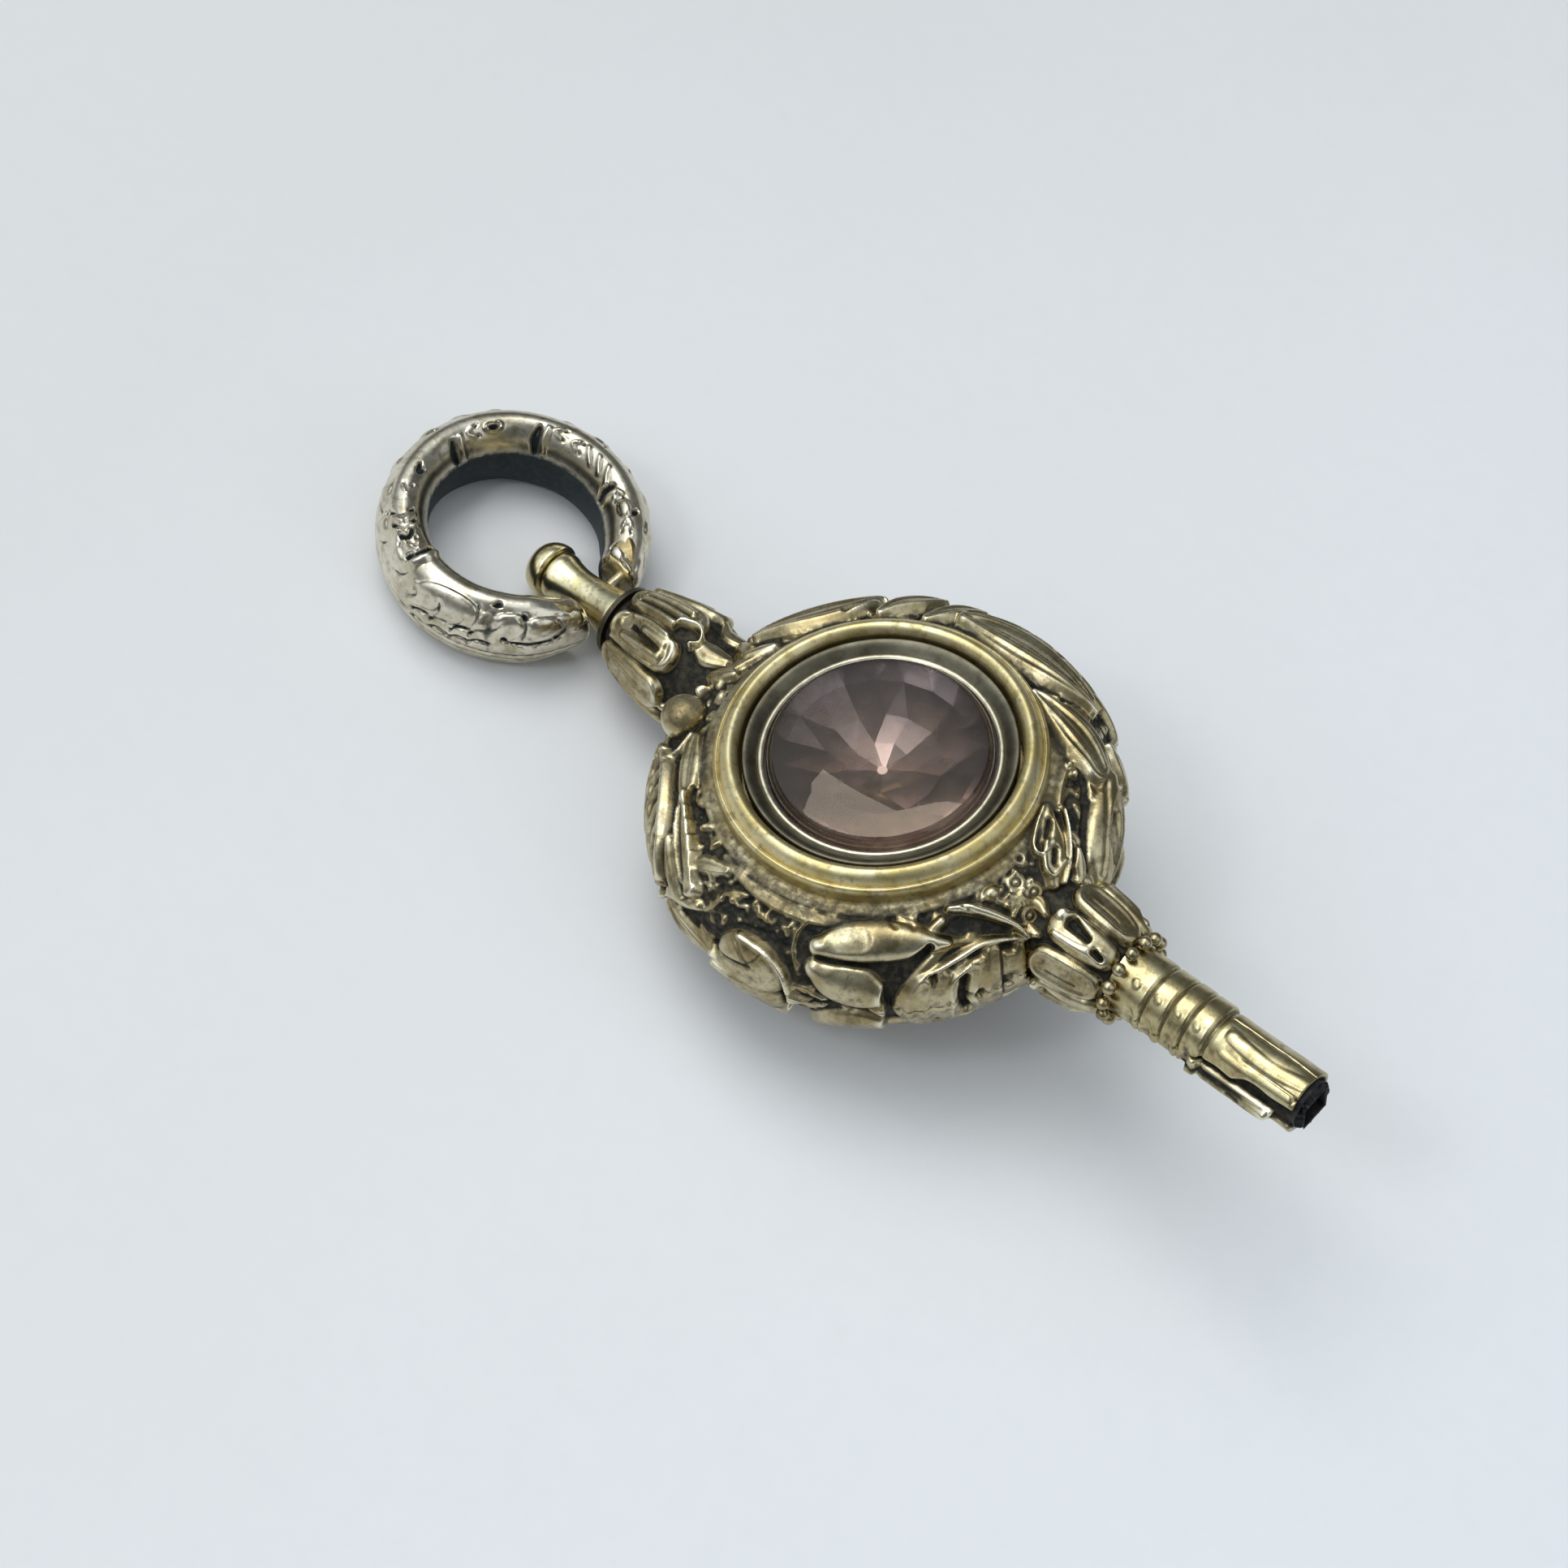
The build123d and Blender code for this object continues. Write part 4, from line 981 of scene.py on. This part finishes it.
def sleeveProfile():
    places = np.arange(pipe["start"], pipe["tip"] + 0.01, 0.04)
    gaps = np.array([abs(places - groove) for groove in pipe["grooves"]]).min(axis=0)
    swell = np.clip(gaps / 0.2, 0, 1)
    swell = np.sqrt(1 - (1 - swell) ** 2)
    band = pipe["groove"] + (pipe["band"] - pipe["groove"]) * swell
    blend = np.clip((places - pipe["grooves"][-1]) / 0.3, 0, 1)
    plain = pipe["groove"] + (pipe["radius"] - pipe["groove"]) * blend
    return list(zip(places, np.where(places > pipe["grooves"][-1], plain, band)))


def sleeveMesh():
    profile = sleeveProfile()
    r = turnedRelief(profile, pipe["columns"], pipe["rows"])
    r.height += unevenField(r, 7, 0.5, 0.02)
    for groove in pipe["grooves"]:
        r.cut(0.04, [(turn, groove) for turn in range(-180, 181, 30)], 0.1)
    for place in (15.3, 16.5, 17.55, 18.6):
        r.add("dome", 0.05, [(116, place), (120, place + 0.1)], 0.18)
    # A dent that runs down to the torn edge, a long seam, and a fold beside it
    r.cut(0.16, [(112, 20.9), (122, 21.9), (122, 23.0), (114, 24.2)], [0.2, 0.42, 0.5, 0.42], stain=0.0)
    r.add("dome", 0.07, [(98, 20.2), (104, 21.4), (104, 22.6), (96, 23.9)], 0.34)
    r.add("dome", 0.07, [(136, 20.2), (138, 21.2), (134, 22.2), (132, 23.6)], 0.26)
    r.cut(0.07, [(66, 19.6), (65, 21.5), (68, 24.1)], 0.07)
    torn = [(163, 19.2), (161, 20.1), (164, 21.1), (149, 21.9), (151, 22.9), (148, 24.3)]
    for turn in (14, 30):
        r.cut(0.5, [(u + turn, v) for u, v in torn], [0.3, 0.42, 0.45, 0.5, 0.5, 0.5], "flat")
    lip = [(204, 18.8), (205, 19.8), (203, 21.2), (199, 22.3), (192, 22.9)]
    r.add("dome", 0.34, lip, [0.1, 0.2, 0.26, 0.34, 0.25])
    r.dull(lip, 0.45, 1.5)
    r.cut(0.2, [(200, 21.0), (198, 21.6)], 0.1)
    for place in (15.5, 16.5, 17.6, 18.6):
        r.cut(0.08, [(163, place), (174, place + 0.15), (188, place)], 0.25, "dome", 0.35)
        r.add("dome", 0.14, [(184, place + 0.5), (196, place + 0.55)], 0.28)
    r.settle(0.03, 0.25, -0.06)
    return turnedMesh("pipeSleeve", profile, pipe["bore"], pipe["steps"], pipe["spacing"], r)


def steelMesh():
    half = pipe["socket"] / 2
    tip = pipe["steelTip"]
    radius = pipe["steelRadius"]
    outline = [(place, radius) for place in np.arange(pipe["steelStart"], tip - 0.2, 0.12)]
    outline += [(tip - 0.2, radius * 0.985), (tip - 0.08, radius * 0.93)]
    outline += [(tip, radius * 0.82), (tip, half * 1.12), (tip - 0.05, half * 1.02)]
    outline += [(tip - place, half) for place in (0.6, 1.6, 3.0, 4.5, pipe["socketDepth"])]
    outline += [(tip - pipe["socketDepth"], 0), (pipe["steelStart"], 0)]
    mesh = roundMesh("steelPipe", outline, pipe["steelSteps"], "X")
    points = readPoints(mesh)
    size = np.hypot(points[:, 1], points[:, 2])
    square = np.abs(points[:, 1:]).max(axis=1)
    hole = (size < half * 1.14) & (size > 0.1) & (points[:, 0] > tip - pipe["socketDepth"] - 0.01)
    points[:, 1:] *= np.where(hole, size / np.maximum(square, 1e-6), 1)[:, None]
    # Rust has eaten the end unevenly
    shake = np.random.default_rng(4).normal(size=(12, 3))
    turn = np.arctan2(points[:, 2], points[:, 1])
    wave = sum(a * np.sin(k * turn + b + c * points[:, 0]) for k, (a, b, c) in enumerate(shake, 2))
    solid = ~hole & (size > 0.1)
    points[:, 1:] *= (1 + np.where(solid, wave * 0.010 - 0.018, 0))[:, None]
    points[:, 0] -= np.where(solid & (points[:, 0] > tip - 0.25), np.abs(wave) * 0.08, 0)
    writePoints(mesh, points)
    return mesh


piece("pipeSleeve", sleeveMesh(), casePlace, "case", ["pipe_sleeve"], sleeveGilt)
piece("steelPipe", steelMesh(), casePlace, "case", ["steel_pipe"], steel, 40)


# Swivel: the waisted spool and the rivet with a domed head
swivel = {
    "spool": [(-21.56, 1.12), (-21.5, 1.22), (-21.2, 1.24), (-20.8, 1.12), (-20.2, 1.03), (-19.4, 1.02),
              (-18.6, 1.08), (-17.9, 1.2), (-17.4, 1.29), (-17.14, 1.3), (-17.08, 1.22)],
    "head": [(-23.1, 0.02), (-23.08, 0.3), (-22.98, 0.66), (-22.78, 1.02), (-22.5, 1.27), (-22.15, 1.41),
             (-21.85, 1.44), (-21.72, 1.4), (-21.67, 1.3)],
    "bore": 0.55, "post": 0.5, "postStart": -21.67, "postEnd": -14.5, "spoolSteps": 160, "postSteps": 128,
    "spacing": 0.05,
}


def postMesh():
    head = smoothLine(swivel["head"], 60)
    outline = [(place, max(radius, 0)) for place, radius in head[1:]]
    outline += [(swivel["postStart"], swivel["post"]), (swivel["postEnd"], swivel["post"])]
    outline += [(swivel["postEnd"], 0), (swivel["head"][0][0], 0)]
    return roundMesh("swivelPost", outline, swivel["postSteps"], "X")


spool = turnedMesh("hubSpool", swivel["spool"], swivel["bore"], swivel["spoolSteps"], swivel["spacing"])
piece("hubSpool", spool, hubPlace, "hub", ["hub_spool"], spoolGilt)
piece("swivelPost", postMesh(), casePlace, "case", ["swivel_post"], spoolGilt, 50)


# Ring, engraved above the seam and banded below it
ring = {
    "radius": 5.5, "half": 1.25, "tall": 2.34, "gap": 1.6, "seam": -0.5, "wall": 0.35, "edge": 0.45, "steps": 384,
    "columns": 1100, "rows": 240, "sectionScale": 0.033, "depthShare": 1.4, "sharp": 40,
}


def ringBack():
    return math.sqrt(ring["radius"] ** 2 - ring["gap"] ** 2)


def ringPlace():
    along = hingeAxis.cross(Vector((0, 0, 1)))
    centre = hinge - along * ringBack() * mm
    return Matrix.Translation(centre) @ axes(along, hingeAxis) @ Matrix.Scale(mm, 4)


def ringRelief():
    spread = math.radians(1)
    r = Relief(ring["columns"], -90, 270, ring["rows"],
               lambda v: spread * (ring["radius"] + ring["half"] * np.cos(np.radians(v))), ring["sectionScale"])
    r.height += unevenField(r, 9, 0.7, 0.014)
    r.add("ridge", 0.12, [(143, 105), (149, 107), (150, 114), (146, 118), (142, 113), (143, 105)], 0.17)
    r.cut(0.26, [(145.5, 110), (146.5, 111)], 0.27)
    for u, low, high in ((120, 104, 152), (172, 112, 154), (64, 112, 152)):
        r.cut(0.3, [(u, low), (u + 1, (low + high) / 2), (u, high)], [0.14, 0.3, 0.16])
        r.add("ridge", 0.13, [(u - 5, low), (u - 4, (low + high) / 2), (u - 5, high)], 0.2)
    r.cut(0.3, [(-59, -10), (-61, 30), (-60, 60), (-58, 80)], [0.16, 0.3, 0.33, 0.16])
    r.cut(0.3, [(45, 78), (44, 90), (46, 104)], 0.18)
    r.cut(0.26, [(-163, 98), (-160, 104), (-161, 112)], [0.14, 0.3, 0.14])
    for u in (-133, -126):
        r.cut(0.26, [(u, 58), (u + 4, 80), (u, 108)], [0.1, 0.16, 0.1])
        r.add("ridge", 0.12, [(u + 3.2, 58), (u + 7.2, 80), (u + 3.2, 108)], 0.17)
    r.cut(0.28, [(-119, 66), (-117, 80), (-120, 94)], 0.17)
    r.add("ridge", 0.16, [(-104, 58), (-102, 90), (-103, 122)], 0.26)
    r.cut(0.24, [(-108, 58), (-106, 90), (-107, 122)], 0.15)
    r.add("pebble", 0.16, [(-98, 10), (-88, 38), (-74, 44), (-64, 34)], [0.3, 0.8, 0.85, 0.3])
    for u, v in ((-96, -8), (-86, 2), (-76, 6), (-68, 12)):
        r.cut(0.2, [(u, v), (u + 3, v + 12), (u + 8, v + 16)], 0.12)
        r.cut(0.18, [(u, v - 16), (u + 4, v - 6), (u + 9, v - 8)], 0.1)
    r.add("dome", 0.2, [(-54, 44), (-50, 46)], 0.6)
    r.add("dome", 0.26, [(-40, 38), (-36, 40)], 0.66)
    r.cut(0.28, [(-46, 20), (-45, 40), (-46, 62)], 0.13)
    r.cut(0.28, [(-32, 20), (-29, 34), (-31, 52)], 0.16)
    r.cut(0.24, [(-54, 18), (-44, 10), (-34, 14)], 0.11)
    r.add("flat", 0.1, [(-24, 30), (-22, 45), (-22, 60)], 0.3)
    for u in (88, 80, 72):
        r.cut(0.18, [(u, 100), (u - 3, 114), (u - 7, 126)], 0.1)
        r.add("ridge", 0.08, [(u + 3, 100), (u, 114), (u - 4, 126)], 0.13)
    r.add("dome", 0.18, [(46, 104), (48, 106)], 0.45)
    r.add("dome", 0.18, [(17, 104), (19, 116)], 0.55)
    r.cut(0.26, [(24, 92), (26, 110), (24, 130)], 0.13)
    # Crescents between the cuts on the top, and leaf cuts down the outer side
    for u, v in ((158, 112), (108, 106), (96, 112), (-146, 92), (-112, 84), (56, 112), (36, 100)):
        r.cut(0.16, [(u - 3, v - 12), (u + 1, v), (u - 3, v + 12)], [0.05, 0.14, 0.05])
        r.add("ridge", 0.08, [(u, v - 10), (u + 4, v), (u, v + 10)], 0.12)
    chance = np.random.default_rng(31)
    for u in range(-170, 175, 17):
        turn, low, size = chance.uniform(2, 10), chance.uniform(4, 24), chance.uniform(0.7, 1.3)
        r.cut(0.13, [(u, low), (u + turn, low + 20 * size), (u + turn * 0.4, low + 38 * size)], [0.04, 0.12, 0.04])
        r.cut(0.1, [(u + 7, low + 4), (u + 9 + turn, low + 14), (u + 12 + turn, low + 30)], [0.03, 0.09, 0.03])
        r.add("dome", 0.08, [(u + 3, low + 12), (u + 6, low + 24)], [0.2, 0.45])
    for v in (-14, -26, -38):
        r.cut(0.08, [(u, v) for u in range(-180, 181, 20)], 0.08)
    r.height *= ring["depthShare"]
    r.settle(0.04, 0.3, -0.12)
    return r


def ringShell(name, low, high, relief):
    # A strip of the ring's oval section, given its thickness and turned from one end face to the other
    count = int((high - low) / 2.4)
    angles = np.radians(np.linspace(low, high, count))
    shrink = 1 - ring["wall"] / ring["half"]
    outline = [(ring["tall"] * math.sin(a), ring["radius"] + ring["half"] * math.cos(a)) for a in angles]
    outline += [(ring["tall"] * 0.86 * math.sin(a), ring["radius"] + ring["half"] * shrink * math.cos(a))
                for a in angles[::-6]]
    opening = math.asin(ring["gap"] / ring["radius"])
    mesh = roundMesh(name, outline, ring["steps"], "Z", 360 - 2 * math.degrees(opening), math.degrees(opening))
    points = readPoints(mesh)
    across = np.hypot(points[:, 0], points[:, 1])
    u = np.degrees(np.arctan2(points[:, 1], points[:, 0]))
    out = across - ring["radius"]
    v = np.mod(np.degrees(np.arctan2(points[:, 2] / ring["tall"], out / ring["half"])) + 90, 360) - 90
    outside = np.hypot(out / ring["half"], points[:, 2] / ring["tall"]) > 0.93
    lift = np.where(outside, relief.read(relief.height, u, v), 0)
    scale = 1 + lift / np.hypot(out, points[:, 2])
    fromEnd = (np.abs(np.radians(u)) - opening) * ring["radius"]
    ease = eased(np.clip(fromEnd / 2.6, 0, 1))
    edge = np.sqrt(1 - (1 - np.clip(fromEnd / ring["edge"], 0, 1)) ** 2)
    scale = scale * (0.86 + 0.14 * edge)
    grow = (ring["radius"] + out * scale) / across
    x, y = points[:, 0] * grow, points[:, 1] * grow
    y = y + np.sign(y) * (ring["gap"] - np.hypot(x, y) * math.sin(opening)) * (1 - ease)
    z = np.maximum(points[:, 2] * scale * (0.72 + 0.28 * ease), -ring["tall"])
    writePoints(mesh, np.column_stack([x, y, z]))
    # The ring's inner wall is darkened as painted shade, passed in as the dull share
    innerWallShade = np.clip((np.abs(v) - 146) / 16, 0, 1) * 0.95
    paintRelief(mesh, relief, outside, u, v, 0.6, innerWallShade)
    return mesh


def ringEndMesh():
    # Each end is closed by a low domed plate
    bm = bmesh.new()
    for side in (1, -1):
        place = Matrix.Translation((ringBack(), side * (ring["gap"] + 0.10), 0))
        place = place @ Matrix.Diagonal((ring["half"] * 0.9, 0.16, ring["tall"] * 0.65, 1))
        bmesh.ops.create_uvsphere(bm, u_segments=48, v_segments=24, radius=1, matrix=place)
    return keepMesh(bm, "ringEnds")


ringField = ringRelief()
seamAngle = math.degrees(math.asin(ring["seam"] / ring["tall"]))
for name, node, low, high in (("ringUpper", "ring_upper_shell", seamAngle, 180 - seamAngle),
                              ("ringLower", "ring_lower_shell", -180 - seamAngle, seamAngle)):
    piece(name, ringShell(name, low, high, ringField), ringPlace(), "ring", [node], ringGilt,
          ring["sharp"])
piece("ringEnds", ringEndMesh(), ringPlace(), "ring", ["ring_end_caps"], ringGilt)


# CAD pieces that show as they are
finishes = {
    "case_core": innerBrass, "collar_cap": shadowedGapGilt, "ring_filling": innerBrass, "ring_pins": ringGilt,
    "front_foil": pinkFoil, "back_foil": pinkFoil,
}
for name, material in finishes.items():
    mesh = frame["nodes"][name].data
    mesh.materials.clear()
    mesh.materials.append(material)
print("CAD pieces finished")


# Floor, camera and light
paper = {"size": 2.4, "left": (0.71, 0.705, 0.70), "right": (0.81, 0.81, 0.815)}


def makeFloor():
    shade = Shade("paper")
    across = shade.add("ShaderNodeSeparateXYZ", {}, {0: shade.spot}, 0)
    # The paper runs from darker at the left to lighter at the right: painted shading across the floor
    paintedShading = (across * 12 + 0.5 + (shade.noise(30, 2.0) - 0.5) * 0.4).held()
    base = shade.mix(paintedShading, paper["left"], paper["right"])
    base = shade.mix(shade.noise(1.5, 4.0, 0.6).rise(0.3, 0.9) * 0.06, base, (0.5, 0.52, 0.54))
    material = shade.surface({"Base Color": base, "Roughness": 0.75})
    bm = bmesh.new()
    bmesh.ops.create_grid(bm, x_segments=8, y_segments=8, size=paper["size"] / 2)
    mesh = keepMesh(bm, "floor")
    mesh.materials.append(material)
    made = bpy.data.objects.new("floor", mesh)
    bpy.context.scene.collection.objects.link(made)


camera = {
    "eye": (33.834, -71.170, 125.737), "target": (-0.675, -2.658, 6.545), "up": (-0.66433, 0.54858, 0.50766),
    "lens": 70.81, "sensor": 36.0,
}


def makeCamera():
    eye, target = (Vector(camera[name]) * mm for name in ("eye", "target"))
    back = (eye - target).normalized()
    right = Vector(camera["up"]).cross(back).normalized()
    data = bpy.data.cameras.new("camera")
    data.lens = camera["lens"]
    data.sensor_width = camera["sensor"]
    data.clip_start = 0.005
    data.clip_end = 5.0
    made = bpy.data.objects.new("camera", data)
    made.matrix_world = Matrix.Translation(eye) @ Matrix((right, back.cross(right), back)).transposed().to_4x4()
    bpy.context.scene.collection.objects.link(made)
    bpy.context.scene.camera = made


lamps = {
    "window": {"from": (-0.415, -0.026, 0.910), "reach": 0.30, "size": (0.18, 0.15), "power": 0.245,
               "colour": (1.0, 0.985, 0.94)},
    "side": {"from": (-0.212, -0.604, 0.77), "reach": 0.32, "size": (0.05, 0.05), "power": 0.10,
             "colour": (0.92, 0.96, 1.0)},
    "fill": {"from": (0.70, 0.15, 0.70), "reach": 0.32, "size": (0.26, 0.26), "power": 0.18,
             "colour": (0.87, 0.94, 1.0)},
}


def makeLamps():
    for name, look in lamps.items():
        data = bpy.data.lights.new(name, "AREA")
        data.shape = "RECTANGLE"
        data.size, data.size_y = look["size"]
        data.energy = look["power"]
        data.color = look["colour"]
        made = bpy.data.objects.new(name, data)
        way = Vector(look["from"]).normalized()
        made.matrix_world = Matrix.Translation(way * look["reach"]) @ way.to_track_quat("Z", "Y").to_matrix().to_4x4()
        bpy.context.scene.collection.objects.link(made)


room = {
    "sides": 0.17, "overhead": 1.6, "toward": (-0.35, -0.30, 0.88), "tint": (0.85, 0.93, 1.0),
    "darkCard": (0.23, -0.47, 0.85), "cardShare": 0.75,
}


def makeWorld():
    world = bpy.data.worlds.new("room")
    bpy.context.scene.world = world
    world.use_nodes = True
    tree = world.node_tree
    tree.nodes.clear()
    shade = Shade.__new__(Shade)
    shade.tree = tree
    way = shade.add("ShaderNodeTexCoord", output="Generated")
    toward, card = (shade.add("ShaderNodeVectorMath", {"operation": "DOT_PRODUCT"}, {0: way, 1: room[name]}, "Value")
                    for name in ("toward", "darkCard"))
    light = room["sides"] + toward.rise(0.45, 1.0) * (room["overhead"] - room["sides"])
    light = light * (1 - card.rise(0.90, 0.98) * room["cardShare"])
    glow = shade.add("ShaderNodeBackground", {}, {"Color": (*room["tint"], 1), "Strength": light})
    shade.add("ShaderNodeOutputWorld", {}, {"Surface": glow})


makeFloor()
makeCamera()
makeLamps()
makeWorld()
bpy.context.scene.view_settings.view_transform = "Standard"
print("floor, camera and light set")
